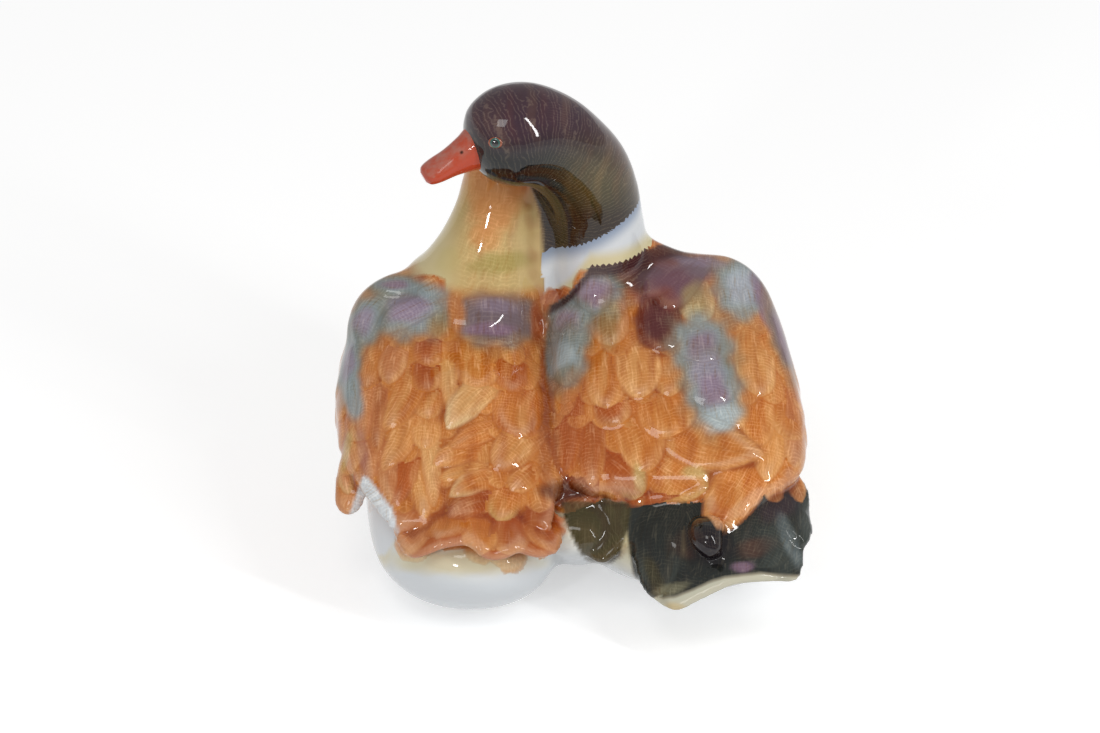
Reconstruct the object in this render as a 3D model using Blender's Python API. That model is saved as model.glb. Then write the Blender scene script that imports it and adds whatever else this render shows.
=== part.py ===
"""A pair of ducks nestled side by side: one hollow, slip-cast porcelain figurine.

Metres, +Z up. Both ducks face +Y, the hen at -X and the drake at +X. The origin is under the
middle of the figurine's box, in the plane that it stands on.

The ducks are modelled as masses (bodies, necks, heads), which run together as slip does in a
mould. Bills, wings, tails and long feathers are added, and the plumage is carved on that skin.
Last come the flat foot, the hollow inside and the vent that every hollow casting needs.
"""

import math
from collections import namedtuple

import bmesh
import bpy
import numpy as np
from mathutils import Matrix, Vector
from mathutils.bvhtree import BVHTree

# Driving sizes of the hen, the left duck
HEN_LENGTH = 0.182
HEN_WIDTH = 0.086
HEN_BODY_HEIGHT = 0.105
HEN_REAR = (-0.0445, -0.084)
HEN_FRONT_X = -0.046
HEN_SWAY = -0.005
HEN_MANTLE_LENGTH = 0.147
HEN_MANTLE_WIDTH = 0.094
HEN_MANTLE_HEIGHT = 0.110
HEN_MANTLE_REAR = (-0.046, -0.070)
HEN_MANTLE_FRONT_X = -0.051
HEN_MANTLE_SWAY = -0.010
HEN_NECK_RADIUS = 0.0175
HEN_HEAD_RADIUS = 0.0205
HEN_NECK_FLATNESS = 0.97
HEN_BILL_LENGTH = 0.027
HEN_BILL_WIDTH = 0.017
HEN_BILL_DROOP = 0.10
HEN_RECESS_LENGTH = 0.091
HEN_RECESS_WIDTH = 0.040
HEN_TAIL_CUP = 0.002

# Driving sizes of the drake, the right duck
DRAKE_LENGTH = 0.180
DRAKE_WIDTH = 0.098
DRAKE_BODY_HEIGHT = 0.113
DRAKE_REAR = (0.0535, -0.079)
DRAKE_FRONT_X = 0.024
DRAKE_SWAY = 0.002
DRAKE_MANTLE_LENGTH = 0.126
DRAKE_MANTLE_WIDTH = 0.112
DRAKE_MANTLE_HEIGHT = 0.1180
DRAKE_MANTLE_REAR = (0.046, -0.052)
DRAKE_MANTLE_FRONT_X = 0.036
DRAKE_MANTLE_SWAY = 0.000
DRAKE_NECK_RADIUS = 0.0208
DRAKE_HEAD_RADIUS = 0.0228
DRAKE_NECK_FLATNESS = 0.94
DRAKE_BILL_LENGTH = 0.0270
DRAKE_BILL_WIDTH = 0.018
DRAKE_BILL_DROOP = 0.06
DRAKE_RECESS_LENGTH = 0.090
DRAKE_RECESS_WIDTH = 0.048
DRAKE_TAIL_CUP = 0.003
CURL_RADIUS = 0.0068
CURL_MIDDLE = (0.055, -0.077, 0.050)

# Sizes that both ducks share
TAIL_THICKNESS = 0.0065
PRIMARY_THICKNESS = 0.0075
PRIMARY_CUP = 0.003
FOLDED_TIP_THICKNESS = 0.0060
FOLDED_TIP_CUP = 0.002
EYE_RADIUS = 0.0034
FEATHER_DEPTH = 0.0028
FEATHER_EDGE = 0.0026

# The casting: its wall, its foot and the vent
WALL = 0.005
RECESS_DEPTH = 0.0015
RECESS_ALONG = 0.52
VENT_RADIUS = 0.004

# The plumage is drawn on a sheet that faces the two backs from behind, tipped up by this angle.
# A sheet unit is this long, and the point (SHEET_X, SHEET_Y) lies over the origin. Y runs down.
SHEET_ANGLE = math.radians(30.0)
SHEET_UNIT = 0.00044
SHEET_X = 577.0
SHEET_Y = 546.0
SHEET_DISTANCE = 0.6

# How finely the skin is worked
MASS_VOXEL = 0.0024
SKIN_VOXEL = 0.0016
MASS_SMOOTHING = 9
SKIN_SMOOTHING = 3
OUTER_TRIANGLES = 10000
HOLLOW_VOXEL = 0.0050
HOLLOW_TRIANGLES = 1400
HOLLOW_SMOOTHING = 4
RING_POINTS = 40
CURVE_STEPS = 4
LINE_STEPS = 12
FAN_STEPS = 28
RECESS_SIDES = 32
VENT_SIDES = 16
LEAST_HALF = 0.0004
CREASE_ANGLE = math.radians(50)
CLAY_WHITE = (0.86, 0.84, 0.78, 1.0)
GLAZE_ROUGHNESS = 0.12

# An outline from the rear to the breast: share of the length, share of the half width, and the
# underside and the back as shares of the height. The belly dips under the foot, which cuts it.
Station = namedtuple("Station", "along width low high")
HEN_OUTLINE = (
    Station(0.000, 0.10, 0.28, 0.33),
    Station(0.025, 0.40, 0.19, 0.40),
    Station(0.075, 0.67, 0.10, 0.46),
    Station(0.140, 0.84, 0.035, 0.53),
    Station(0.250, 0.96, -0.03, 0.64),
    Station(0.450, 1.00, -0.07, 0.84),
    Station(0.620, 0.98, -0.07, 0.96),
    Station(0.740, 0.93, -0.05, 1.00),
    Station(0.840, 0.82, 0.00, 0.95),
    Station(0.920, 0.62, 0.08, 0.82),
    Station(0.975, 0.34, 0.22, 0.66),
    Station(1.000, 0.06, 0.38, 0.52),
)
DRAKE_OUTLINE = (
    Station(0.000, 0.10, 0.28, 0.34),
    Station(0.030, 0.44, 0.215, 0.40),
    Station(0.085, 0.69, 0.142, 0.455),
    Station(0.150, 0.83, 0.085, 0.52),
    Station(0.250, 0.98, 0.00, 0.63),
    Station(0.420, 1.00, -0.06, 0.81),
    Station(0.600, 0.98, -0.07, 0.95),
    Station(0.730, 0.93, -0.05, 1.00),
    Station(0.830, 0.82, 0.00, 0.95),
    Station(0.915, 0.62, 0.08, 0.82),
    Station(0.975, 0.34, 0.22, 0.66),
    Station(1.000, 0.06, 0.38, 0.52),
)
HEN_MANTLE_OUTLINE = (
    Station(0.00, 0.78, 0.430, 0.485),
    Station(0.09, 0.88, 0.455, 0.565),
    Station(0.23, 0.97, 0.42, 0.69),
    Station(0.41, 1.00, 0.36, 0.835),
    Station(0.57, 0.99, 0.36, 0.93),
    Station(0.72, 0.94, 0.40, 0.99),
    Station(0.83, 0.82, 0.48, 1.00),
    Station(0.925, 0.62, 0.60, 0.93),
    Station(1.00, 0.20, 0.72, 0.84),
)
DRAKE_MANTLE_OUTLINE = (
    Station(0.00, 0.78, 0.470, 0.535),
    Station(0.08, 0.92, 0.44, 0.60),
    Station(0.23, 1.00, 0.38, 0.73),
    Station(0.41, 1.00, 0.34, 0.85),
    Station(0.58, 0.97, 0.36, 0.945),
    Station(0.735, 0.91, 0.42, 1.00),
    Station(0.845, 0.80, 0.50, 1.00),
    Station(0.935, 0.57, 0.62, 0.93),
    Station(1.00, 0.20, 0.72, 0.84),
)
WIDEST_SHARE = 0.46
BACK_SQUARENESS = 0.78
BELLY_SQUARENESS = 1.00

Mass = namedtuple("Mass", "length width height rear front_x sway outline")
HEN = Mass(HEN_LENGTH, HEN_WIDTH, HEN_BODY_HEIGHT, HEN_REAR, HEN_FRONT_X, HEN_SWAY, HEN_OUTLINE)
HEN_MANTLE = Mass(
    HEN_MANTLE_LENGTH,
    HEN_MANTLE_WIDTH,
    HEN_MANTLE_HEIGHT,
    HEN_MANTLE_REAR,
    HEN_MANTLE_FRONT_X,
    HEN_MANTLE_SWAY,
    HEN_MANTLE_OUTLINE,
)
DRAKE = Mass(
    DRAKE_LENGTH,
    DRAKE_WIDTH,
    DRAKE_BODY_HEIGHT,
    DRAKE_REAR,
    DRAKE_FRONT_X,
    DRAKE_SWAY,
    DRAKE_OUTLINE,
)
DRAKE_MANTLE = Mass(
    DRAKE_MANTLE_LENGTH,
    DRAKE_MANTLE_WIDTH,
    DRAKE_MANTLE_HEIGHT,
    DRAKE_MANTLE_REAR,
    DRAKE_MANTLE_FRONT_X,
    DRAKE_MANTLE_SWAY,
    DRAKE_MANTLE_OUTLINE,
)

# Lines in space, in metres: where the necks, the tails and the long wing feathers run.
# A neck's points come with its radius there, as a share of the duck's neck or head radius.
HEN_NECK_LINE = (
    ((-0.0460, 0.046, 0.064), 2.20),
    ((-0.0450, 0.047, 0.094), 2.06),
    ((-0.0412, 0.048, 0.110), 1.64),
    ((-0.0378, 0.050, 0.124), 1.32),
    ((-0.0345, 0.053, 0.139), 1.12),
    ((-0.0315, 0.059, 0.152), 1.06),
)
HEN_HEAD_LINE = (
    ((-0.0245, 0.069, 0.158), 0.94),
    ((-0.0175, 0.079, 0.157), 1.00),
    ((-0.0085, 0.088, 0.151), 0.86),
    ((-0.0020, 0.0935, 0.146), 0.52),
    ((0.0000, 0.0950, 0.144), 0.20),
)
DRAKE_NECK_LINE = (
    ((0.0220, 0.050, 0.072), 1.45),
    ((0.0130, 0.049, 0.104), 1.20),
    ((0.0100, 0.048, 0.118), 1.10),
    ((0.0090, 0.047, 0.133), 1.04),
    ((0.0075, 0.045, 0.149), 0.99),
    ((0.0030, 0.042, 0.164), 1.00),
    ((-0.0040, 0.038, 0.1755), 1.00),
)
DRAKE_HEAD_LINE = (
    ((-0.0135, 0.034, 0.1850), 0.96),
    ((-0.0250, 0.029, 0.1905), 1.02),
    ((-0.0350, 0.024, 0.1900), 0.95),
    ((-0.0428, 0.021, 0.1880), 0.70),
    ((-0.0465, 0.0195, 0.1870), 0.32),
)
HEN_SHOULDER_LINE = (
    ((-0.0900, 0.022, 0.078), 0.010, 0.010),
    ((-0.0885, 0.034, 0.0925), 0.0125, 0.0125),
    ((-0.0810, 0.042, 0.0990), 0.0125, 0.0125),
    ((-0.0660, 0.046, 0.1020), 0.0115, 0.0115),
)
DRAKE_SHOULDER_LINE = (
    ((0.0812, 0.030, 0.089), 0.0090, 0.0090),
    ((0.0745, 0.041, 0.1012), 0.0104, 0.0104),
    ((0.0640, 0.046, 0.1078), 0.0114, 0.0114),
    ((0.0470, 0.048, 0.1085), 0.0110, 0.0110),
    ((0.0270, 0.048, 0.1180), 0.0105, 0.0105),
)
# The casting fills the gaps where the ducks lean on each other: below, and between the necks.
BRIDGE_BELOW = (
    ((-0.002, -0.064, 0.0425), 0.010, 0.006),
    ((-0.001, -0.056, 0.0395), 0.015, 0.0115),
    ((0.000, -0.034, 0.036), 0.022, 0.024),
    ((-0.003, 0.000, 0.036), 0.024, 0.034),
    ((-0.008, 0.040, 0.046), 0.022, 0.044),
    ((-0.010, 0.066, 0.060), 0.012, 0.030),
)
BRIDGE_BETWEEN = (
    ((-0.015, 0.048, 0.090), 0.016, 0.016),
    ((-0.015, 0.049, 0.120), 0.014, 0.014),
    ((-0.014, 0.050, 0.142), 0.012, 0.012),
    ((-0.013, 0.052, 0.160), 0.012, 0.012),
)
# A bill from its base to its tip: share of its length, share of its half width, half height.
BILL_SHAPE = (
    (0.00, 0.98, 0.0102),
    (0.22, 0.86, 0.0080),
    (0.50, 0.78, 0.0058),
    (0.78, 0.82, 0.0044),
    (0.94, 0.66, 0.0036),
    (1.00, 0.34, 0.0022),
)
BILL_ROOT = (0.80, 0.0100)
BILL_SET_BACK = 0.004
BILL_SQUARENESS = 0.9
# The curl from its root to its tip: steps from its middle, with shares of CURL_RADIUS.
CURL_SHAPE = (
    ((-0.002, 0.012, 0.001), 0.5, 0.4),
    ((-0.001, 0.005, 0.002), 1.0, 0.8),
    ((0.001, -0.003, 0.001), 1.0, 1.0),
    ((0.004, -0.008, -0.004), 0.5, 0.6),
)
# An eye on its head: how far out and how high it sits, and how far its dome rises and narrows.
EYE_OUT = 0.86
EYE_UP = 0.36
EYE_RISE = 0.55
EYE_NARROWS = 0.85
EYE_FLATNESS = 0.8
# The section of a fan: how squarely its ends close, and how full its edges and faces are.
FAN_END_POWER = 0.35
FAN_EDGE_SQUARENESS = 0.55
FAN_FACE_SQUARENESS = 0.7
HEN_TAIL_ROOT = ((-0.079, -0.057, 0.050), (-0.045, -0.050, 0.063), (-0.007, -0.053, 0.053))
HEN_TAIL_RIM = (
    (-0.080, -0.072, 0.0465),
    (-0.073, -0.084, 0.0415),
    (-0.065, -0.085, 0.0455),
    (-0.058, -0.084, 0.0490),
    (-0.047, -0.084, 0.0510),
    (-0.039, -0.088, 0.0465),
    (-0.031, -0.088, 0.0465),
    (-0.025, -0.086, 0.0480),
    (-0.016, -0.086, 0.0435),
    (-0.009, -0.081, 0.0415),
    (-0.004, -0.069, 0.0425),
)
DRAKE_TAIL_ROOT = ((0.0225, -0.047, 0.052), (0.061, -0.047, 0.0635), (0.100, -0.045, 0.052))
DRAKE_TAIL_RIM = (
    (0.0225, -0.073, 0.032),
    (0.028, -0.090, 0.027),
    (0.041, -0.101, 0.0265),
    (0.053, -0.097, 0.0315),
    (0.067, -0.0930, 0.0365),
    (0.082, -0.0920, 0.0365),
    (0.0965, -0.088, 0.0328),
    (0.0985, -0.067, 0.038),
)
HEN_WING_ROOT = ((-0.102, -0.020, 0.060), (-0.096, -0.020, 0.070))
HEN_WING_TIP = ((-0.1065, -0.052, 0.0450), (-0.090, -0.050, 0.0485))
LEFT_PRIMARY_ROOT = ((-0.006, -0.042, 0.049), (0.0225, -0.046, 0.058))
LEFT_PRIMARY_TIP = ((0.003, -0.0675, 0.0315), (0.0185, -0.0715, 0.0350))
FOLDED_TIP_ROOT = ((0.052, -0.040, 0.071), (0.075, -0.034, 0.070), (0.096, -0.026, 0.064))
FOLDED_TIP_RIM = (
    (0.0545, -0.062, 0.0550),
    (0.0620, -0.068, 0.0505),
    (0.0740, -0.062, 0.0555),
    (0.0860, -0.052, 0.0595),
    (0.0970, -0.040, 0.0615),
)
RIGHT_PRIMARY_ROOT = ((0.080, -0.036, 0.066), (0.101, -0.030, 0.052))
RIGHT_PRIMARY_TIP = ((0.094, -0.074, 0.044), (0.1025, -0.065, 0.0405))

# A feather on the sheet: where it grows, where it ends, its width, how far it bows sideways,
# its depth as a share of FEATHER_DEPTH, and how pointed its end is, 0 round to 1 sharp.
Feather = namedtuple("Feather", "root tip width bow depth point")
# The form of every feather: the share of its length where it is widest, the share of its width
# and of its depth that it has at the root, and how far its middle stands above its edges.
FEATHER_BELLY = 0.58
FEATHER_ROOT = 0.62
FEATHER_START = 0.10
FEATHER_DOME = 0.30
# A feather lies only on skin that faces the way it does, by at least this cosine.
LEAST_FACING = 0.15


def smooth_through(rows, steps):
    """Rows of numbers joined by a smooth curve, with this many steps between two rows."""
    rows = [tuple(row) for row in rows]
    found = []
    for i in range(len(rows) - 1):
        before = rows[max(i - 1, 0)]
        start, end = rows[i], rows[i + 1]
        after = rows[min(i + 2, len(rows) - 1)]
        for k in range(steps):
            t = k / steps
            found.append(
                tuple(
                    0.5
                    * (
                        2 * p1
                        + (p2 - p0) * t
                        + (2 * p0 - 5 * p1 + 4 * p2 - p3) * t * t
                        + (3 * p1 - p0 - 3 * p2 + p3) * t**3
                    )
                    for p0, p1, p2, p3 in zip(before, start, end, after)
                )
            )
    found.append(rows[-1])
    return found


def rounded(value, power):
    """A cosine or sine bent towards a square, keeping its sign."""
    return math.copysign(abs(value) ** power, value)


def skin_rings(name, rings):
    """A closed mesh over rings of points, with each end drawn in to one point."""
    mesh = bpy.data.meshes.new(name)
    shape = bmesh.new()
    loops = [[shape.verts.new(point) for point in ring] for ring in rings]
    for lower, upper in zip(loops, loops[1:]):
        count = len(lower)
        for k in range(count):
            n = (k + 1) % count
            shape.faces.new((lower[k], lower[n], upper[n], upper[k]))
    for loop in (loops[0], loops[-1]):
        middle = shape.verts.new(sum((v.co for v in loop), Vector()) / len(loop))
        count = len(loop)
        for k in range(count):
            shape.faces.new((loop[k], loop[(k + 1) % count], middle))
    bmesh.ops.recalc_face_normals(shape, faces=shape.faces)
    shape.to_mesh(mesh)
    shape.free()
    piece = bpy.data.objects.new(name, mesh)
    bpy.context.collection.objects.link(piece)
    return piece


def centre_x(mass, along):
    """X of a mass's middle plane at this share of its length."""
    straight = mass.rear[0] + (mass.front_x - mass.rear[0]) * along
    return straight + mass.sway * math.sin(math.pi * along)


def loft(name, mass, inset=0.0):
    """A mass as rings across its length; inset draws every wall inwards, for the hollow."""
    rings = []
    for along, width, low, high in smooth_through(mass.outline, CURVE_STEPS):
        half = max(mass.width / 2 * width - inset, LEAST_HALF)
        bottom = mass.height * low + inset
        if inset:
            bottom = max(bottom, inset)
        top = max(mass.height * high - inset, bottom + 2 * LEAST_HALF)
        widest = bottom + (top - bottom) * WIDEST_SHARE
        y = mass.rear[1] + inset + (mass.length - 2 * inset) * along
        ring = []
        for k in range(RING_POINTS):
            angle = 2 * math.pi * k / RING_POINTS
            over = math.sin(angle) > 0
            squareness = BACK_SQUARENESS if over else BELLY_SQUARENESS
            across = rounded(math.cos(angle), squareness) * half
            up = rounded(math.sin(angle), squareness)
            rise = (top - widest) if over else (widest - bottom)
            ring.append(Vector((centre_x(mass, along) + across, y, widest + up * rise)))
        rings.append(ring)
    return skin_rings(name, rings)


def limb(name, rows, inset=0.0, squareness=1.0):
    """A tapering form along a smooth line. Each row is (point, half width, half height).

    The half height points as nearly upwards as the line allows.
    """
    up = Vector((0, 0, 1))
    flat = [(*row[0], row[1], row[2]) for row in rows]
    line = smooth_through(flat, CURVE_STEPS)
    rings = []
    for i, (x, y, z, half_width, half_height) in enumerate(line):
        centre = Vector((x, y, z))
        ahead = Vector(line[min(i + 1, len(line) - 1)][:3])
        behind = Vector(line[max(i - 1, 0)][:3])
        forward = (ahead - behind).normalized()
        side = forward.cross(up).normalized()
        over = side.cross(forward)
        wide = max(half_width - inset, LEAST_HALF)
        high = max(half_height - inset, LEAST_HALF)
        rings.append(
            [
                centre
                + side * rounded(math.cos(a), squareness) * wide
                + over * rounded(math.sin(a), squareness) * high
                for a in (2 * math.pi * k / RING_POINTS for k in range(RING_POINTS))
            ]
        )
    return skin_rings(name, rings)


def fan(name, root_line, rim_line, thickness, cup=0.0):
    """A thick sheet between two lines, as a tail or a spread of long feathers.

    It is made of flat rings, one at each step from the lines' first ends to their last. cup
    raises its middle, half way from root to rim.
    """
    roots = even_line(root_line, FAN_STEPS)
    rims = even_line(rim_line, FAN_STEPS)
    rings = []
    for i, (root, rim) in enumerate(zip(roots, rims)):
        before, after = max(i - 1, 0), min(i + 1, FAN_STEPS)
        across = (roots[after] + rims[after] - roots[before] - rims[before]).normalized()
        reach = (rim - root) / 2
        over = across.cross(reach).normalized()
        ends = math.sin(math.pi * (i + 0.5) / (FAN_STEPS + 1)) ** FAN_END_POWER
        ring = []
        for k in range(RING_POINTS):
            angle = 2 * math.pi * k / RING_POINTS
            out = rounded(math.cos(angle), FAN_EDGE_SQUARENESS)
            up = rounded(math.sin(angle), FAN_FACE_SQUARENESS)
            lift = cup * (1 - out * out)
            ring.append(
                (root + rim) / 2 + reach * out * ends + over * (up * thickness / 2 * ends + lift)
            )
        rings.append(ring)
    return skin_rings(name, rings)


def even_line(points, steps):
    """A smooth line through points, as steps + 1 points spaced evenly along it."""
    fine = [Vector(row) for row in smooth_through(points, LINE_STEPS)]
    reached = [0.0]
    for before, after in zip(fine, fine[1:]):
        reached.append(reached[-1] + (after - before).length)
    found = []
    for k in range(steps + 1):
        target = reached[-1] * k / steps
        passed = sum(reach <= target for reach in reached) - 1
        i = min(passed, len(fine) - 2)
        share = (target - reached[i]) / (reached[i + 1] - reached[i])
        found.append(fine[i].lerp(fine[i + 1], min(share, 1.0)))
    return found


def neck_and_head(neck_line, neck_radius, head_line, head_radius, flatness):
    """Rows for a neck and the head on it. flatness is the width as a share of the height."""
    rows = [(Vector(p), neck_radius * r * flatness, neck_radius * r) for p, r in neck_line]
    rows += [(Vector(p), head_radius * r * flatness, head_radius * r) for p, r in head_line]
    return rows


def hen_neck_and_head():
    """The hen's neck, rising from her shoulders, and her head, bowed to the drake's breast."""
    return neck_and_head(
        HEN_NECK_LINE, HEN_NECK_RADIUS, HEN_HEAD_LINE, HEN_HEAD_RADIUS, HEN_NECK_FLATNESS
    )


def drake_neck_and_head():
    """The drake's neck and his head, laid over the hen's nape."""
    return neck_and_head(
        DRAKE_NECK_LINE, DRAKE_NECK_RADIUS, DRAKE_HEAD_LINE, DRAKE_HEAD_RADIUS, DRAKE_NECK_FLATNESS
    )


def bill(name, head_rows, length, width, droop):
    """A duck's bill, rooted in the front of the head: deep at its base, flat and broad at its tip."""
    root = head_rows[-3][0]
    heading = (head_rows[-1][0] - head_rows[-3][0]).normalized()
    heading = (heading - Vector((0, 0, droop))).normalized()
    start = head_rows[-1][0] - heading * BILL_SET_BACK
    half = width / 2
    rows = [(root, half * BILL_ROOT[0], BILL_ROOT[1])]
    for along, share, half_height in BILL_SHAPE:
        rows.append((start + heading * length * along, half * share, half_height))
    return limb(name, rows, squareness=BILL_SQUARENESS)


def eyes(name, head_rows):
    """Two low domes, one on each side of the widest part of a head's front."""
    centre, half_width, half_height = head_rows[-3]
    ahead = (head_rows[-2][0] - head_rows[-4][0]).normalized()
    side = ahead.cross(Vector((0, 0, 1))).normalized()
    lift = Vector((0, 0, half_height * EYE_UP))
    made = []
    for turn in (-1, 1):
        middle = centre + side * turn * half_width * EYE_OUT + lift
        rim = middle + side * turn * EYE_RADIUS * EYE_RISE
        narrow = EYE_RADIUS * EYE_NARROWS
        rows = (
            (middle, EYE_RADIUS, EYE_RADIUS * EYE_FLATNESS),
            (rim, narrow, narrow * EYE_FLATNESS),
        )
        made.append(limb(f"{name}_{turn}", rows))
    return made


def curl():
    """The curled feathers on the tail, which only a drake has."""
    middle = Vector(CURL_MIDDLE)
    rows = [
        (middle + Vector(step), CURL_RADIUS * wide, CURL_RADIUS * high)
        for step, wide, high in CURL_SHAPE
    ]
    return limb("drake_curl", rows)


def sheet_direction():
    """The way a drawing on the sheet is thrown onto the ducks: forwards and down."""
    return Vector((0, math.cos(SHEET_ANGLE), -math.sin(SHEET_ANGLE)))


def sheet_point(x, y):
    """A sheet point in space, well behind the ducks."""
    across = (x - SHEET_X) * SHEET_UNIT
    up = (SHEET_Y - y) * SHEET_UNIT
    in_sheet = Vector((across, up * math.sin(SHEET_ANGLE), up * math.cos(SHEET_ANGLE)))
    return in_sheet - sheet_direction() * SHEET_DISTANCE


def united(name, pieces, voxel, smoothing):
    """Pieces that overlap, made one skin of even squares and eased as wet slip is."""
    shape = bmesh.new()
    for piece in pieces:
        shape.from_mesh(piece.data)
        bpy.data.objects.remove(piece)
    mesh = bpy.data.meshes.new(name)
    shape.to_mesh(mesh)
    shape.free()
    whole = bpy.data.objects.new(name, mesh)
    bpy.context.collection.objects.link(whole)
    remesh = whole.modifiers.new("one skin", "REMESH")
    remesh.mode = "VOXEL"
    remesh.voxel_size = voxel
    ease = whole.modifiers.new("eased", "SMOOTH")
    ease.factor = 0.5
    ease.iterations = smoothing
    return settled(whole)


def settled(piece):
    """The piece with its modifiers worked into its mesh."""
    graph = bpy.context.evaluated_depsgraph_get()
    graph.update()
    mesh = bpy.data.meshes.new_from_object(piece.evaluated_get(graph))
    piece.modifiers.clear()
    piece.data = mesh
    return piece


def feather_half_width(along, width, point):
    """Half the width of a feather at shares of its length from the root."""
    swell = FEATHER_ROOT + (1 - FEATHER_ROOT) * np.sin(
        np.clip(along / FEATHER_BELLY, 0, 1) * math.pi / 2
    )
    past = np.clip((along - FEATHER_BELLY) / (1 - FEATHER_BELLY), 0, 1)
    closing = (1 - past ** (2.4 - 1.1 * point)) ** (0.5 + 0.35 * point)
    return np.maximum(width / 2 * swell * closing, LEAST_HALF)


def lay_feather(heights, points, normals, tree, feather, direction, place):
    """Raises the skin's heights where a feather lies. place turns sheet points into space."""
    hits = []
    root, tip = feather.root, feather.tip
    dx, dy = tip[0] - root[0], tip[1] - root[1]
    bow = feather.bow / math.hypot(dx, dy)
    middle = ((root[0] + tip[0]) / 2 - dy * bow, (root[1] + tip[1]) / 2 + dx * bow)
    for spot in (root, middle, tip):
        found, normal, _, _ = tree.ray_cast(place(*spot), direction)
        if found is None:
            return
        hits.append((found, normal))
    facing = sum((normal for _, normal in hits), Vector()).normalized()
    start, centre, end = (np.array(found) for found, _ in hits)
    facing = np.array(facing)
    ahead = end - start
    ahead = ahead - facing * (ahead @ facing)
    length = float(np.linalg.norm(ahead))
    ahead = ahead / length
    aside = np.cross(ahead, facing)
    width = feather.width * SHEET_UNIT
    reach = length + width
    near = np.nonzero(np.linalg.norm(points - centre, axis=1) < reach)[0]
    near = near[normals[near] @ facing > LEAST_FACING]
    offset = points[near] - start
    along = offset @ ahead / length
    bend = float((centre - start) @ aside)
    across = offset @ aside - 4 * bend * along * (1 - along)
    half = feather_half_width(along, width, feather.point)
    share = np.abs(across) / half
    inward = (1 - share) * half
    inside = (along > 0) & (along < 1) & (share < 1)
    rise = FEATHER_START + (1 - FEATHER_START) * np.clip(along, 0, 1)
    edge = np.clip(inward / FEATHER_EDGE, 0, 1)
    edge = edge * edge * (3 - 2 * edge)
    dome = 1 - FEATHER_DOME * share**2
    height = FEATHER_DEPTH * feather.depth * rise * edge * dome
    height = np.where(inside, height, 0)
    heights[near] = np.maximum(heights[near], height)


# The small feathers that cover both backs under the drawn ones: their size, depth and point in
# sheet units, and on each back the left, right, top and bottom edge, the middle and the spread
GROUND_STEP = 24
GROUND_LENGTH = 42
GROUND_WIDTH = 29
GROUND_DEPTH = 0.42
GROUND_POINT = 0.2
HEN_GROUND = (352, 545, 300, 480, 455, 0.12)
DRAKE_GROUND = (558, 800, 290, 470, 640, 0.08)

# The feathers on the outer flanks, in sheet units from the shoulder towards the tail and down
SHOULDER_Y = 0.060
SHOULDER_Z = 0.105
FLANK_ROWS = 4
FLANK_COLUMNS = 5
FLANK_CORNER = (8, 30)
FLANK_STEP = (46, 30)
FLANK_FALL = 11
FLANK_REACH = (62, 26)
FLANK_WIDTH = 46
FLANK_DEPTH = 0.9
FLANK_POINT = 0.25

# The hen's back, as it is drawn on the sheet
HEN_FEATHERS = (
    Feather((446, 288), (378, 291), 24, 2, 1.5, 0.0),
    Feather((440, 283), (420, 296), 22, 0, 1.9, 0.0),
    Feather((437, 300), (384, 332), 34, 3, 1.4, 0.1),
    Feather((380, 297), (361, 346), 32, 6, 1.2, 0.2),
    Feather((358, 338), (356, 420), 20, 4, 1.2, 0.5),
    Feather((385, 336), (370, 388), 28, 2, 0.9, 0.2),
    Feather((374, 375), (368, 440), 18, 3, 1.0, 0.4),
    Feather((386, 372), (380, 452), 18, 2, 1.1, 0.4),
    Feather((404, 336), (391, 384), 28, 2, 1.0, 0.3),
    Feather((418, 358), (388, 430), 30, -6, 1.3, 0.5),
    Feather((417, 392), (386, 470), 28, -6, 1.2, 0.5),
    Feather((430, 336), (429, 366), 28, 0, 0.9, 0.0),
    Feather((429, 358), (429, 392), 27, 0, 1.0, 0.0),
    Feather((430, 384), (430, 418), 28, 0, 1.0, 0.0),
    Feather((430, 408), (428, 448), 28, 0, 1.0, 0.1),
    Feather((447, 340), (450, 408), 16, -2, 0.9, 0.3),
    Feather((492, 298), (493, 346), 74, 0, 0.7, 0.0),
    Feather((478, 340), (478, 388), 42, 0, 1.0, 0.0),
    Feather((504, 376), (449, 428), 34, 6, 1.6, 0.6),
    Feather((513, 345), (511, 392), 34, 0, 1.0, 0.0),
    Feather((525, 384), (516, 436), 50, 2, 1.6, 0.0),
    Feather((510, 425), (452, 446), 22, 3, 1.2, 0.6),
    Feather((541, 425), (497, 468), 38, 3, 1.4, 0.2),
    Feather((492, 446), (436, 462), 26, 3, 1.6, 0.3),
    Feather((500, 468), (440, 478), 20, 3, 1.0, 0.5),
    Feather((504, 474), (452, 494), 24, 4, 1.5, 0.5),
    Feather((536, 466), (512, 488), 24, 0, 1.4, 0.1),
    Feather((500, 496), (450, 514), 28, 4, 1.4, 0.3),
    Feather((512, 480), (500, 518), 30, 0, 1.1, 0.2),
    Feather((413, 428), (396, 506), 24, -4, 1.2, 0.5),
    Feather((412, 450), (428, 517), 24, -3, 1.5, 0.7),
    Feather((424, 400), (436, 505), 18, -3, 1.2, 0.5),
    Feather((378, 425), (392, 503), 20, -4, 1.2, 0.5),
    Feather((366, 425), (374, 480), 16, -2, 1.1, 0.5),
    Feather((350, 425), (352, 492), 22, 2, 1.0, 0.4),
    Feather((358, 468), (342, 512), 24, 3, 1.5, 0.3),
    Feather((425, 508), (406, 555), 46, 2, 1.4, 0.1),
    Feather((448, 512), (446, 546), 40, 0, 0.9, 0.0),
    Feather((478, 515), (484, 550), 34, 0, 1.0, 0.2),
    Feather((512, 512), (508, 550), 40, 0, 0.9, 0.1),
    Feather((545, 500), (540, 555), 44, 0, 1.3, 0.1),
)

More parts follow.
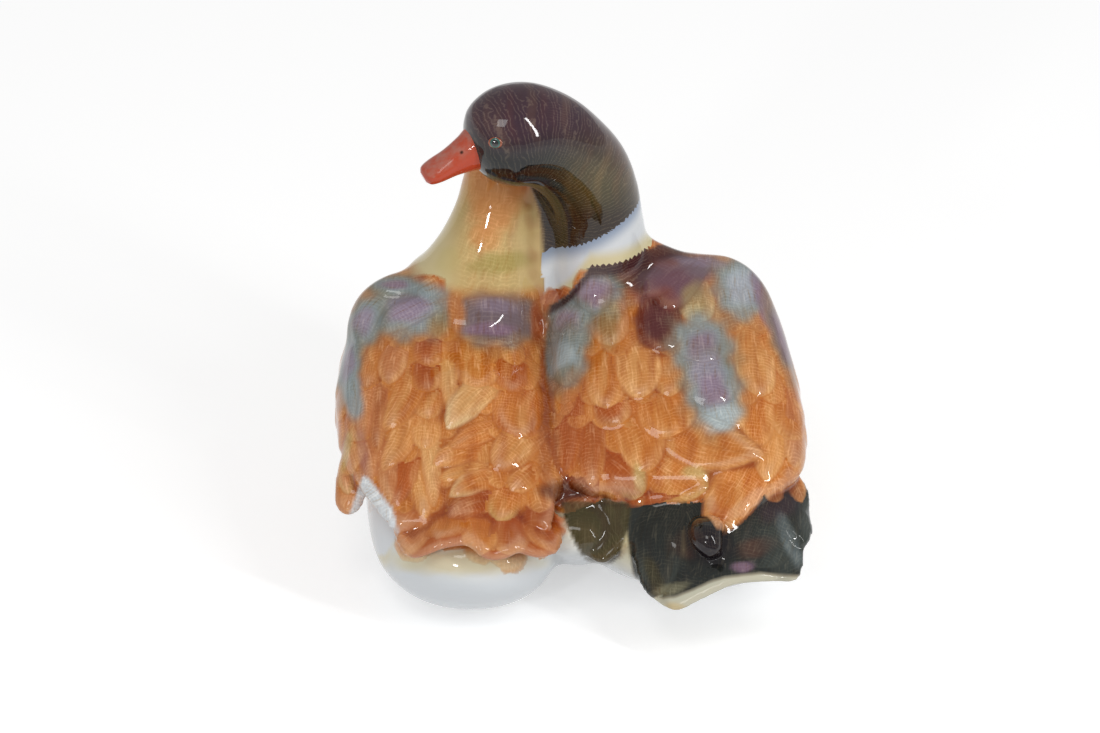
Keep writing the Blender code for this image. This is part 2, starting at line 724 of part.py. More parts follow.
# The drake's back, as it is drawn on the sheet
DRAKE_FEATHERS = (
    Feather((572, 290), (554, 332), 28, 2, 1.1, 0.1),
    Feather((592, 272), (590, 312), 40, 0, 1.2, 0.0),
    Feather((607, 292), (611, 346), 38, 0, 1.2, 0.1),
    Feather((575, 308), (567, 386), 38, 3, 1.5, 0.3),
    Feather((606, 262), (640, 268), 26, 0, 0.9, 0.2),
    Feather((690, 262), (648, 298), 34, 6, 1.8, 0.1),
    Feather((700, 262), (662, 310), 40, 4, 1.7, 0.0),
    Feather((656, 296), (661, 352), 46, 0, 1.7, 0.0),
    Feather((664, 345), (668, 396), 32, 0, 1.2, 0.1),
    Feather((694, 280), (697, 324), 36, 0, 1.0, 0.1),
    Feather((700, 318), (700, 362), 54, 0, 1.1, 0.0),
    Feather((706, 350), (708, 404), 54, 0, 1.3, 0.0),
    Feather((712, 385), (722, 436), 54, 0, 1.2, 0.2),
    Feather((625, 325), (640, 398), 44, -4, 1.3, 0.1),
    Feather((604, 338), (606, 408), 40, 0, 1.1, 0.1),
    Feather((655, 380), (668, 436), 58, -3, 1.4, 0.0),
    Feather((604, 395), (618, 424), 36, 0, 1.2, 0.1),
    Feather((618, 395), (646, 470), 46, -5, 1.2, 0.1),
    Feather((645, 404), (760, 455), 58, 13, 2.6, 0.8),
    Feather((748, 262), (745, 326), 44, 0, 0.9, 0.0),
    Feather((752, 318), (757, 396), 42, 2, 1.1, 0.0),
    Feather((756, 378), (752, 446), 38, 2, 1.0, 0.2),
    Feather((775, 290), (790, 372), 30, -4, 1.1, 0.3),
    Feather((781, 350), (797, 432), 24, -3, 1.0, 0.4),
    Feather((790, 395), (789, 466), 26, -3, 1.2, 0.3),
    Feather((775, 396), (762, 480), 34, 2, 1.2, 0.5),
    Feather((776, 425), (712, 526), 52, 4, 1.9, 0.8),
    Feather((575, 385), (566, 474), 30, 2, 1.0, 0.2),
    Feather((592, 400), (592, 484), 26, 0, 1.0, 0.2),
    Feather((598, 448), (640, 494), 36, -4, 1.3, 0.1),
    Feather((640, 448), (704, 488), 50, 5, 1.4, 0.3),
    Feather((566, 470), (590, 502), 44, 0, 1.2, 0.1),
    Feather((655, 480), (660, 500), 70, 0, 1.1, 0.0),
)

# The drake's tail coverts and the folds of its edge, as they are drawn on the sheet
TAIL_FEATHERS = (
    Feather((664, 498), (652, 592), 54, 6, 1.3, 0.2),
    Feather((690, 500), (700, 572), 44, 0, 1.0, 0.1),
    Feather((775, 490), (752, 562), 50, -4, 1.1, 0.1),
    Feather((790, 500), (792, 575), 34, 0, 1.2, 0.1),
    Feather((595, 490), (598, 563), 58, 0, 2.0, 0.1),
    Feather((790, 470), (812, 548), 40, -4, 2.0, 0.4),
)


def ground_feathers(left, right, top, bottom, middle, spread):
    """Shallow feathers in even rows on the sheet, which the drawn feathers lie over.

    They fan out from the middle of a back by spread, and each row is shifted by half a feather.
    """
    laid = []
    row = 0
    y = top
    while y < bottom:
        x = left + (GROUND_STEP / 2 if row % 2 else 0)
        while x < right:
            tip = (x + (x - middle) * spread, y + GROUND_LENGTH)
            laid.append(Feather((x, y), tip, GROUND_WIDTH, 0, GROUND_DEPTH, GROUND_POINT))
            x += GROUND_STEP
        y += GROUND_STEP
        row += 1
    return laid


def flank_feathers():
    """Rows of overlapping feathers on a duck's flank, on a sheet seen from its side.

    Later columns grow nearer the tail, and each row is shifted by half a feather.
    """
    laid = []
    for row in range(FLANK_ROWS):
        for column in range(FLANK_COLUMNS):
            x = FLANK_CORNER[0] + FLANK_STEP[0] * (column + row % 2 / 2)
            y = FLANK_CORNER[1] + FLANK_STEP[1] * row + FLANK_FALL * column
            tip = (x + FLANK_REACH[0], y + FLANK_REACH[1])
            laid.append(Feather((x, y), tip, FLANK_WIDTH, 0, FLANK_DEPTH, FLANK_POINT))
    return laid


def side_place(side):
    """Turns points on a flank's sheet, in sheet units from the shoulder, into space."""

    def place(x, y):
        along = SHOULDER_Y - x * SHEET_UNIT
        height = SHOULDER_Z - y * SHEET_UNIT
        return Vector((side * SHEET_DISTANCE, along, height))

    return place


def softened(heights, mesh):
    """The heights, each moved half way to the mean of its neighbours', as a thick glaze does."""
    count = len(mesh.edges)
    ends = np.empty(count * 2, dtype=np.int64)
    mesh.edges.foreach_get("vertices", ends)
    first, second = ends.reshape(-1, 2).T
    totals = np.bincount(first, heights[second], len(heights))
    totals += np.bincount(second, heights[first], len(heights))
    neighbours = np.bincount(ends, minlength=len(heights))
    return (heights + totals / np.maximum(neighbours, 1)) / 2


def carve_plumage(skin):
    """Lays every feather on the skin and raises the skin by the highest of them at each point."""
    mesh = skin.data
    count = len(mesh.vertices)
    points = np.empty(count * 3)
    mesh.vertices.foreach_get("co", points)
    points = points.reshape(-1, 3)
    normals = np.empty(count * 3)
    mesh.vertex_normals.foreach_get("vector", normals)
    normals = normals.reshape(-1, 3)
    faces = [tuple(face.vertices) for face in mesh.polygons]
    tree = BVHTree.FromPolygons([Vector(p) for p in points], faces)
    heights = np.zeros(count)
    direction = sheet_direction()
    ground = ground_feathers(*HEN_GROUND) + ground_feathers(*DRAKE_GROUND)
    for feather in (*ground, *HEN_FEATHERS, *DRAKE_FEATHERS, *TAIL_FEATHERS):
        lay_feather(heights, points, normals, tree, feather, direction, sheet_point)
    for side in (-1, 1):
        inward = Vector((-side, 0, 0))
        for feather in flank_feathers():
            lay_feather(heights, points, normals, tree, feather, inward, side_place(side))
    heights = softened(heights, mesh)
    points += normals * heights[:, None]
    mesh.vertices.foreach_set("co", points.ravel())
    mesh.update()


def thinned(skin, triangles):
    """The skin with its flat stretches in fewer triangles."""
    skin.data.calc_loop_triangles()
    fewer = skin.modifiers.new("fewer faces", "DECIMATE")
    fewer.ratio = triangles / len(skin.data.loop_triangles)
    return settled(skin)


def cut_foot(skin):
    """Slices the skin flat where it stands and closes it with one level face."""
    shape = bmesh.new()
    shape.from_mesh(skin.data)
    everything = shape.verts[:] + shape.edges[:] + shape.faces[:]
    cut = bmesh.ops.bisect_plane(
        shape, geom=everything, plane_co=(0, 0, 0), plane_no=(0, 0, 1), clear_inner=True
    )
    edges = [item for item in cut["geom_cut"] if isinstance(item, bmesh.types.BMEdge)]
    bmesh.ops.holes_fill(shape, edges=edges)
    bmesh.ops.recalc_face_normals(shape, faces=shape.faces)
    shape.to_mesh(skin.data)
    shape.free()


def hollow():
    """The space that the poured-out slip leaves inside the bodies and the necks."""
    pieces = [
        loft("hollow_hen", HEN, inset=WALL),
        loft("hollow_drake", DRAKE, inset=WALL),
        loft("hollow_hen_mantle", HEN_MANTLE, inset=WALL),
        loft("hollow_drake_mantle", DRAKE_MANTLE, inset=WALL),
        limb("hollow_hen_neck", hen_neck_and_head()[:8], inset=WALL),
        limb("hollow_drake_neck", drake_neck_and_head()[:9], inset=WALL),
    ]
    space = united("hollow", pieces, HOLLOW_VOXEL, HOLLOW_SMOOTHING)
    return thinned(space, HOLLOW_TRIANGLES)


def recess_middle(duck, z):
    """The point at height z over the middle of the recess in a duck's foot."""
    y = duck.rear[1] + duck.length * RECESS_ALONG
    return Vector((centre_x(duck, RECESS_ALONG), y, z))


def recess_cutter(duck, length, width):
    """A shallow oval cut into a body's foot, which leaves a rim for it to stand on."""
    bpy.ops.mesh.primitive_cylinder_add(
        vertices=RECESS_SIDES,
        radius=1.0,
        depth=2 * RECESS_DEPTH,
        location=recess_middle(duck, 0),
    )
    cutter = bpy.context.object
    cutter.data.transform(Matrix.Diagonal((width / 2, length / 2, 1.0, 1.0)))
    return cutter


def vent_cutter():
    """The drill for the vent, up through the drake's foot into the hollow."""
    bpy.ops.mesh.primitive_cylinder_add(
        vertices=VENT_SIDES,
        radius=VENT_RADIUS,
        depth=4 * WALL,
        location=recess_middle(DRAKE, WALL),
    )
    return bpy.context.object


def cut_away(skin, cutters):
    """Takes the cutters out of the skin."""
    for cutter in cutters:
        cutter.hide_render = True
        cutter.display_type = "WIRE"
        cut = skin.modifiers.new(cutter.name, "BOOLEAN")
        cut.operation = "DIFFERENCE"
        cut.object = cutter
    settled(skin)
    for cutter in cutters:
        bpy.data.objects.remove(cutter)


def porcelain():
    """Glazed white porcelain; the painting is left to the finish."""
    material = bpy.data.materials.new("glazed_porcelain")
    material.use_nodes = True
    shader = material.node_tree.nodes["Principled BSDF"]
    shader.inputs["Base Color"].default_value = CLAY_WHITE
    shader.inputs["Roughness"].default_value = GLAZE_ROUGHNESS
    shader.inputs["Metallic"].default_value = 0.0
    return material


def centre_over_origin(skin):
    """Moves the skin so that its box stands on the origin, centred."""
    corners = [Vector(v.co) for v in skin.data.vertices]
    low = Vector(min(c[i] for c in corners) for i in range(3))
    high = Vector(max(c[i] for c in corners) for i in range(3))
    middle = (low + high) / 2
    skin.data.transform(Matrix.Translation((-middle.x, -middle.y, -low.z)))


def main():
    """Builds the figurine."""
    for old in list(bpy.data.objects):
        bpy.data.objects.remove(old)
    hen_head = hen_neck_and_head()
    drake_head = drake_neck_and_head()
    masses = [
        loft("hen_body", HEN),
        loft("hen_mantle", HEN_MANTLE),
        limb("hen_neck", hen_head),
        loft("drake_body", DRAKE),
        loft("drake_mantle", DRAKE_MANTLE),
        limb("drake_neck", drake_head),
        limb("hen_shoulder", HEN_SHOULDER_LINE),
        limb("drake_shoulder", DRAKE_SHOULDER_LINE),
        limb("bridge_below", BRIDGE_BELOW),
        limb("bridge_between", BRIDGE_BETWEEN),
    ]
    core = united("core", masses, MASS_VOXEL, MASS_SMOOTHING)
    parts = [
        core,
        bill("hen_bill", hen_head, HEN_BILL_LENGTH, HEN_BILL_WIDTH, HEN_BILL_DROOP),
        bill("drake_bill", drake_head, DRAKE_BILL_LENGTH, DRAKE_BILL_WIDTH, DRAKE_BILL_DROOP),
        *eyes("hen_eye", hen_head),
        *eyes("drake_eye", drake_head),
        fan("hen_tail", HEN_TAIL_ROOT, HEN_TAIL_RIM, TAIL_THICKNESS, HEN_TAIL_CUP),
        fan("hen_wing", HEN_WING_ROOT, HEN_WING_TIP, PRIMARY_THICKNESS),
        fan("drake_tail", DRAKE_TAIL_ROOT, DRAKE_TAIL_RIM, TAIL_THICKNESS, DRAKE_TAIL_CUP),
        curl(),
        fan("left_primary", LEFT_PRIMARY_ROOT, LEFT_PRIMARY_TIP, PRIMARY_THICKNESS, PRIMARY_CUP),
        fan("folded_tip", FOLDED_TIP_ROOT, FOLDED_TIP_RIM, FOLDED_TIP_THICKNESS, FOLDED_TIP_CUP),
        fan("right_primary", RIGHT_PRIMARY_ROOT, RIGHT_PRIMARY_TIP, PRIMARY_THICKNESS, PRIMARY_CUP),
    ]
    skin = united("duck_pair", parts, SKIN_VOXEL, SKIN_SMOOTHING)
    carve_plumage(skin)
    thinned(skin, OUTER_TRIANGLES)
    cut_foot(skin)
    cutters = [
        hollow(),
        recess_cutter(HEN, HEN_RECESS_LENGTH, HEN_RECESS_WIDTH),
        recess_cutter(DRAKE, DRAKE_RECESS_LENGTH, DRAKE_RECESS_WIDTH),
        vent_cutter(),
    ]
    cut_away(skin, cutters)
    centre_over_origin(skin)
    skin.data.materials.clear()
    skin.data.materials.append(porcelain())
    skin.data.shade_smooth()
    skin.data.set_sharp_from_angle(angle=CREASE_ANGLE)


main()
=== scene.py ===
"""Looks of the duck pair figurine: painted and glazed porcelain, with its studio.

The figurine is one casting. Its skin is shaped here from the same masses as the solid, at a finer
grain, and every feather is both modelled on it and painted. The painting is held in the mesh's
attributes, and the brush strokes inside each feather are drawn by the glaze's material.
"""

import logging
import math
import random
from dataclasses import dataclass, field
from enum import Enum

import bmesh
import bpy
import numpy as np
from mathutils import Matrix, Vector
from mathutils.bvhtree import BVHTree


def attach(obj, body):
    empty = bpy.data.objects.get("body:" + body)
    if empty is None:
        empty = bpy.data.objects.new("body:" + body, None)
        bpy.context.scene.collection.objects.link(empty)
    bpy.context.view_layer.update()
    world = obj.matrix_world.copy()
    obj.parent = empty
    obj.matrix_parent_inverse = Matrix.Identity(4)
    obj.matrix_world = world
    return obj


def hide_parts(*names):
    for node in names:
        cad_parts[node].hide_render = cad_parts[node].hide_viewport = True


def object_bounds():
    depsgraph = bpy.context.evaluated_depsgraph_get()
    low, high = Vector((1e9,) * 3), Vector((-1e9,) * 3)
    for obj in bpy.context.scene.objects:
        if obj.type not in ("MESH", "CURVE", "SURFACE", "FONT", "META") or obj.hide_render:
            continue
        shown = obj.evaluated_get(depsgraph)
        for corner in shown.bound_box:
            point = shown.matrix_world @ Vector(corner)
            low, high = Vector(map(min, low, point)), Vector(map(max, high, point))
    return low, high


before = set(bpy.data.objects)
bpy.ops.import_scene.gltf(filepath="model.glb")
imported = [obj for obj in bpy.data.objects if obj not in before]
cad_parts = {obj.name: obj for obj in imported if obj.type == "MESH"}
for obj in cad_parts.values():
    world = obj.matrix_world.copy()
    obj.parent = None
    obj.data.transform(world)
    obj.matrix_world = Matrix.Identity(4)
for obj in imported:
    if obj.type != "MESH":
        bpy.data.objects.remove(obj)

log = logging.getLogger("duck_pair")
Array = np.ndarray
Piece = bpy.types.Object
Socket = bpy.types.NodeSocket

NODE = "duck_pair"
BODY = "root"
MM = 0.001
CAD_BOX = [[float(v) for v in corner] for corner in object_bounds()]

SKIN_VOXEL = 0.00145
MASS_VOXEL = 0.0024
MASS_SMOOTHING = 9
SKIN_SMOOTHING = 4
RING_POINTS = 48
FAN_STEPS = 40
FEATHER_DEPTH = 0.0016
FEATHER_EDGE = 0.0026
SOFTENING = 4
HEEL_SHARE = 0.10
RISE_POWER = 1.7
BOWL_SHARE = 0.15
FAR_FORM = 0.02
FORM_MARGIN = 0.006
FORM_REACH = 0.012
FORM_BLEND = 0.0007
SHORTEST_FEATHER = 0.002
LONGEST_STRETCH = 3.0
HOLLOW_REACH = 6
FAR_INSIDE = 9.0
EYE_RADIUS = 0.0027
EYE_FORWARD = 0.0032
EYE_SINK = 0.0003
EYE_SHAPE = (1.18, 0.92, 0.42, 1.0)
BOX_MARGIN = 0.00002
NECK_FLATNESS = {"hen": 0.97, "drake": 0.94}
SHIFT = Vector((0.0023364, -0.0055869, 0.0))


class Part(Enum):
    """The forms that the figurine is built from."""

    HEN_BODY = 0
    HEN_BACK = 1
    HEN_NECK = 2
    HEN_TAIL = 3
    HEN_WING = 4
    DRAKE_BODY = 5
    DRAKE_BACK = 6
    DRAKE_NECK = 7
    DRAKE_TAIL = 8
    DRAKE_CURL = 9
    LEFT_PRIMARY = 10
    RIGHT_PRIMARY = 11


class Glaze(Enum):
    """The painter's colours, as screen values from 0 to 255."""

    COOL_WHITE = (230, 235, 239)
    # Painted shade: grey-blue for the collar's top, in the shade of the head and neck above it.
    COLLAR_SHADE_GREY = (150, 166, 190)
    CREAM = (228, 216, 170)
    BUTTER = (214, 186, 124)
    STRAW = (206, 186, 118)
    OLIVE_STRAW = (176, 158, 84)
    APRICOT = (230, 172, 106)
    LIGHT_ORANGE = (220, 148, 78)
    ORANGE = (206, 122, 46)
    ROSE_ORANGE = (206, 130, 76)
    DEEP_ORANGE = (182, 88, 22)
    RUST = (150, 68, 20)
    BROWN = (104, 52, 30)
    OLIVE_TAN = (160, 138, 92)
    OLIVE_GREY = (128, 124, 98)
    BLUE_GREY = (146, 160, 164)
    PALE_BLUE = (176, 190, 194)
    LILAC = (156, 138, 160)
    MAUVE = (142, 112, 134)
    GREY_MAUVE = (122, 104, 112)
    PLUM = (114, 76, 88)
    MAROON = (92, 38, 40)
    DARK_MAROON = (58, 22, 30)
    AUBERGINE = (62, 40, 54)
    BLACK_GREEN = (16, 22, 22)
    DARK_OLIVE = (66, 58, 24)
    OLIVE_GOLD = (92, 82, 34)
    DARK_BROWN = (44, 28, 16)
    SLATE = (32, 38, 36)
    GREY_GREEN = (64, 72, 68)
    BLACK_PURPLE = (20, 10, 20)
    CORAL = (196, 74, 44)
    PINK_CORAL = (188, 118, 102)
    TEAL = (34, 92, 84)
    BLACK = (16, 14, 16)

    @property
    def linear(self) -> Array:
        """The colour as the shader's own linear values."""
        screen = np.array(self.value) / 255
        return np.where(screen <= 0.04045, screen / 12.92, ((screen + 0.055) / 1.055) ** 2.4)

    @property
    def solid(self) -> tuple[float, ...]:
        """The linear colour with a full alpha, as a colour socket takes it."""
        return (*self.linear, 1.0)


@dataclass(frozen=True)
class Mass:
    """A body or a mantle, lofted from the tail to the breast.

    Each row of its outline is a ring: shares of the length, half width, lowest and highest place.
    """

    length: float
    width: float
    height: float
    rear: tuple[float, float]
    front_x: float
    sway: float
    outline: tuple[tuple[float, float, float, float], ...]

    def centre_x(self, along: float) -> float:
        """X of the middle plane at this share of the length."""
        straight = self.rear[0] + (self.front_x - self.rear[0]) * along
        return straight + self.sway * math.sin(math.pi * along)


@dataclass(frozen=True)
class Sheet:
    """A drawing sheet from which feathers and dabs of colour are thrown onto the ducks."""

    zero: Vector
    across: Vector
    down: Vector
    look: Vector
    unit: float
    x_zero: float = 0.0
    y_zero: float = 0.0

    def place(self, x: float, y: float) -> Vector:
        """A sheet point in space, well before the ducks."""
        shift = self.across * (x - self.x_zero) + self.down * (y - self.y_zero)
        return self.zero + shift * self.unit - self.look * 0.6

    def coordinates(self, points: Array) -> tuple[Array, Array]:
        """Where points in space lie on the sheet.

        Args:
            points: Points in space.

        Returns:
            Their x and y on the sheet.
        """
        offset = points - np.array(self.zero)
        x = offset @ np.array(self.across) / self.unit + self.x_zero
        y = offset @ np.array(self.down) / self.unit + self.y_zero
        return x, y


@dataclass(frozen=True)
class Feather:
    """One feather on a sheet, with the colour of its vane and of its rim."""

    root: tuple[float, float]
    tip: tuple[float, float]
    width: float
    bow: float = 0.0
    depth: float = 1.0
    point: float = 0.1
    vane: Glaze = Glaze.ORANGE
    rim: Glaze = Glaze.LIGHT_ORANGE
    strokes: float = 0.75


@dataclass(frozen=True)
class Dab:
    """A soft oval of colour, brushed over what lies on a sheet."""

    x: float
    y: float
    half_width: float
    half_height: float
    glaze: Glaze
    strength: float = 0.8
    turn: float = 0.0
    parts: tuple[Part, ...] = ()


BACK_ANGLE = math.radians(30.0)
BACK_SHEET = Sheet(
    zero=Vector((0, 0, 0)),
    across=Vector((1, 0, 0)),
    down=Vector((0, -math.sin(BACK_ANGLE), -math.cos(BACK_ANGLE))),
    look=Vector((0, math.cos(BACK_ANGLE), -math.sin(BACK_ANGLE))),
    unit=0.00044,
    x_zero=577.0,
    y_zero=546.0,
)


def flank_sheet(way: int) -> Sheet:
    """A flank's sheet, looked at along +X or -X."""
    level = {"zero": Vector((0, 0.060, 0.100)), "across": Vector((0, -1, 0)), "down": Vector((0, 0, -1))}
    return Sheet(look=Vector((way, 0, 0)), unit=MM, **level)


FLANK_SHEETS = (flank_sheet(1), flank_sheet(-1))
HEN = Mass(
    0.182,
    0.086,
    0.105,
    (-0.0445, -0.084),
    -0.046,
    -0.005,
    (
        (0.000, 0.10, 0.28, 0.33), (0.025, 0.40, 0.19, 0.40), (0.075, 0.67, 0.10, 0.46),
        (0.140, 0.84, 0.035, 0.53), (0.250, 0.96, -0.03, 0.64), (0.450, 1.00, -0.07, 0.84),
        (0.620, 0.98, -0.07, 0.96), (0.740, 0.93, -0.05, 1.00), (0.840, 0.82, 0.00, 0.95),
        (0.920, 0.62, 0.08, 0.82), (0.975, 0.34, 0.22, 0.66), (1.000, 0.06, 0.38, 0.52),
    ),
)
HEN_MANTLE = Mass(
    0.147,
    0.094,
    0.110,
    (-0.046, -0.070),
    -0.051,
    -0.010,
    (
        (0.00, 0.78, 0.430, 0.485), (0.09, 0.88, 0.455, 0.565), (0.23, 0.97, 0.42, 0.69),
        (0.41, 1.00, 0.36, 0.835), (0.57, 0.99, 0.36, 0.93), (0.72, 0.94, 0.40, 0.99),
        (0.83, 0.82, 0.48, 1.00), (0.925, 0.62, 0.60, 0.93), (1.00, 0.20, 0.72, 0.84),
    ),
)
DRAKE = Mass(
    0.180,
    0.098,
    0.113,
    (0.0535, -0.079),
    0.024,
    0.002,
    (
        (0.000, 0.10, 0.28, 0.34), (0.030, 0.44, 0.215, 0.40), (0.085, 0.69, 0.142, 0.455),
        (0.150, 0.83, 0.085, 0.52), (0.250, 0.98, 0.00, 0.63), (0.420, 1.00, -0.06, 0.81),
        (0.600, 0.98, -0.07, 0.95), (0.730, 0.93, -0.05, 1.00), (0.830, 0.82, 0.00, 0.95),
        (0.915, 0.62, 0.08, 0.82), (0.975, 0.34, 0.22, 0.66), (1.000, 0.06, 0.38, 0.52),
    ),
)
DRAKE_MANTLE = Mass(
    0.126,
    0.112,
    0.1180,
    (0.046, -0.052),
    0.036,
    0.000,
    (
        (0.00, 0.78, 0.470, 0.535), (0.08, 0.92, 0.44, 0.60), (0.23, 1.00, 0.38, 0.73),
        (0.41, 1.00, 0.34, 0.85), (0.58, 0.97, 0.36, 0.945), (0.735, 0.91, 0.42, 1.00),
        (0.845, 0.80, 0.50, 1.00), (0.935, 0.57, 0.62, 0.93), (1.00, 0.20, 0.72, 0.84),
    ),
)
WIDEST_SHARE = 0.46
BACK_SQUARENESS = 0.78
BELLY_SQUARENESS = 1.00

HEN_NECK_RADIUS = 0.0175
HEN_HEAD_RADIUS = 0.0205
DRAKE_NECK_RADIUS = 0.0208
DRAKE_HEAD_RADIUS = 0.0228
HEN_NECK_LINE = (
    ((-0.046, 0.046, 0.064), 2.2), ((-0.045, 0.047, 0.094), 2.06), ((-0.0412, 0.048, 0.11), 1.64),
    ((-0.0378, 0.05, 0.124), 1.32), ((-0.0345, 0.053, 0.139), 1.12),
    ((-0.0315, 0.059, 0.152), 1.06),
)
HEN_HEAD_LINE = (
    ((-0.0245, 0.069, 0.158), 0.94),
    ((-0.0175, 0.079, 0.157), 1.00),
    ((-0.0085, 0.088, 0.151), 0.86),
    ((-0.0020, 0.0935, 0.146), 0.52),
    ((0.0000, 0.0950, 0.144), 0.20),
)
DRAKE_NECK_LINE = (
    ((0.022, 0.05, 0.072), 1.45), ((0.013, 0.049, 0.104), 1.2), ((0.01, 0.048, 0.118), 1.1),
    ((0.009, 0.047, 0.133), 1.04), ((0.0075, 0.045, 0.149), 0.99), ((0.003, 0.042, 0.164), 1.00),
    ((-0.004, 0.038, 0.1755), 1.00),
)
DRAKE_HEAD_LINE = (
    ((-0.0135, 0.034, 0.1850), 0.96),
    ((-0.0250, 0.029, 0.1905), 1.02),
    ((-0.0350, 0.024, 0.1900), 0.95),
    ((-0.0428, 0.021, 0.1880), 0.70),
    ((-0.0465, 0.0195, 0.1870), 0.32),
)
HEN_SHOULDER_LINE = (
    ((-0.09, 0.022, 0.078), 0.01, 0.01), ((-0.0885, 0.034, 0.0925), 0.0125, 0.0125),
    ((-0.081, 0.042, 0.099), 0.0125, 0.0125), ((-0.066, 0.046, 0.102), 0.0115, 0.0115),
)
DRAKE_SHOULDER_LINE = (
    ((0.0812, 0.030, 0.089), 0.0090, 0.0090),
    ((0.0745, 0.041, 0.1012), 0.0104, 0.0104),
    ((0.0640, 0.046, 0.1078), 0.0114, 0.0114),
    ((0.0470, 0.048, 0.1085), 0.0110, 0.0110),
    ((0.0270, 0.048, 0.1180), 0.0105, 0.0105),
)
BRIDGE_BELOW = (
    ((-0.002, -0.064, 0.0425), 0.01, 0.006), ((-0.001, -0.056, 0.0395), 0.015, 0.0115),
    ((0.000, -0.034, 0.036), 0.022, 0.024), ((-0.003, 0.000, 0.036), 0.024, 0.034),
    ((-0.008, 0.04, 0.046), 0.022, 0.044), ((-0.01, 0.066, 0.06), 0.012, 0.03),
)
BRIDGE_BETWEEN = (
    ((-0.015, 0.048, 0.090), 0.016, 0.016),
    ((-0.015, 0.049, 0.120), 0.014, 0.014),
    ((-0.014, 0.050, 0.142), 0.012, 0.012),
    ((-0.013, 0.052, 0.160), 0.012, 0.012),
)
HEN_TAIL_ROOT = ((-0.079, -0.057, 0.050), (-0.045, -0.050, 0.063), (-0.007, -0.053, 0.053))
HEN_TAIL_RIM = (
    (-0.080, -0.072, 0.0465), (-0.073, -0.084, 0.0415), (-0.065, -0.085, 0.0455),
    (-0.058, -0.084, 0.0490), (-0.047, -0.084, 0.0510), (-0.039, -0.088, 0.0465),
    (-0.031, -0.088, 0.0465), (-0.025, -0.086, 0.0480), (-0.016, -0.086, 0.0435),
    (-0.009, -0.081, 0.0415), (-0.004, -0.069, 0.0425),
)
DRAKE_TAIL_ROOT = ((0.0225, -0.047, 0.052), (0.061, -0.047, 0.0635), (0.100, -0.045, 0.052))
DRAKE_TAIL_RIM = (
    (0.0225, -0.073, 0.032), (0.028, -0.090, 0.027), (0.041, -0.101, 0.0265), (0.053, -0.097, 0.0315),
    (0.067, -0.0930, 0.0365), (0.082, -0.0920, 0.0365), (0.0965, -0.088, 0.0328),
    (0.0985, -0.067, 0.038),
)
HEN_WING_ROOT = ((-0.102, -0.020, 0.060), (-0.096, -0.020, 0.070))
HEN_WING_TIP = ((-0.1065, -0.052, 0.0450), (-0.090, -0.050, 0.0485))
LEFT_PRIMARY_ROOT = ((-0.006, -0.042, 0.049), (0.0225, -0.046, 0.058))
LEFT_PRIMARY_TIP = ((0.003, -0.0675, 0.0315), (0.0185, -0.0715, 0.0350))
FOLDED_TIP_ROOT = ((0.052, -0.040, 0.071), (0.075, -0.034, 0.070), (0.096, -0.026, 0.064))
FOLDED_TIP_RIM = (
    (0.0545, -0.062, 0.0550), (0.0620, -0.068, 0.0505), (0.0740, -0.062, 0.0555),
    (0.0860, -0.052, 0.0595), (0.0970, -0.040, 0.0615),
)
RIGHT_PRIMARY_ROOT = ((0.080, -0.036, 0.066), (0.101, -0.030, 0.052))
RIGHT_PRIMARY_TIP = ((0.094, -0.074, 0.044), (0.1025, -0.065, 0.0405))
TAIL_THICKNESS = 0.0065
PRIMARY_THICKNESS = 0.0075
FOLDED_TIP_THICKNESS = 0.0060
CURL_MIDDLE = Vector((0.055, -0.077, 0.050))
CURL_RADIUS = 0.0068
BILL_LENGTH = 0.0270
DRAKE_BILL_WIDTH = 0.018
HEN_BILL_WIDTH = 0.017
DRAKE_BILL_DROOP = 0.14
HEN_BILL_DROOP = 0.10


@dataclass(frozen=True)
class Fan:
    """A thick sheet between two lines, as a tail or a spread of long feathers."""

    part: Part
    name: str
    root_line: tuple
    rim_line: tuple
    thickness: float
    cup: float = 0.0


TAIL_FANS = (
    Fan(Part.HEN_TAIL, "hen_tail", HEN_TAIL_ROOT, HEN_TAIL_RIM, TAIL_THICKNESS, 0.002),
    Fan(Part.HEN_WING, "hen_wing", HEN_WING_ROOT, HEN_WING_TIP, PRIMARY_THICKNESS),
    Fan(Part.DRAKE_TAIL, "drake_tail", DRAKE_TAIL_ROOT, DRAKE_TAIL_RIM, TAIL_THICKNESS, 0.003),
)
WING_TIP_FANS = (
    Fan(
        Part.LEFT_PRIMARY, "left_primary", LEFT_PRIMARY_ROOT, LEFT_PRIMARY_TIP, PRIMARY_THICKNESS, 0.003
    ),
    Fan(
        Part.RIGHT_PRIMARY, "right_primary", RIGHT_PRIMARY_ROOT, RIGHT_PRIMARY_TIP, PRIMARY_THICKNESS, 0.003
    ),
    Fan(Part.DRAKE_BACK, "folded_tip", FOLDED_TIP_ROOT, FOLDED_TIP_RIM, FOLDED_TIP_THICKNESS, 0.002),
)


def smooth_through(rows: tuple, steps: int) -> list[tuple[float, ...]]:
    """Joins rows of numbers by a smooth curve.

    Args:
        rows: Rows of equally many numbers.
        steps: How many steps lie between two rows.

    Returns:
        The rows of the curve.
    """
    rows = [tuple(row) for row in rows]
    found = []
    for i in range(len(rows) - 1):
        before = rows[max(i - 1, 0)]
        start, end = rows[i], rows[i + 1]
        after = rows[min(i + 2, len(rows) - 1)]
        for k in range(steps):
            t = k / steps
            row = []
            for p0, p1, p2, p3 in zip(before, start, end, after):
                bend = 2 * p0 - 5 * p1 + 4 * p2 - p3
                twist = 3 * p1 - p0 - 3 * p2 + p3
                row.append(0.5 * (2 * p1 + (p2 - p0) * t + bend * t * t + twist * t**3))
            found.append(tuple(row))
    found.append(rows[-1])
    return found


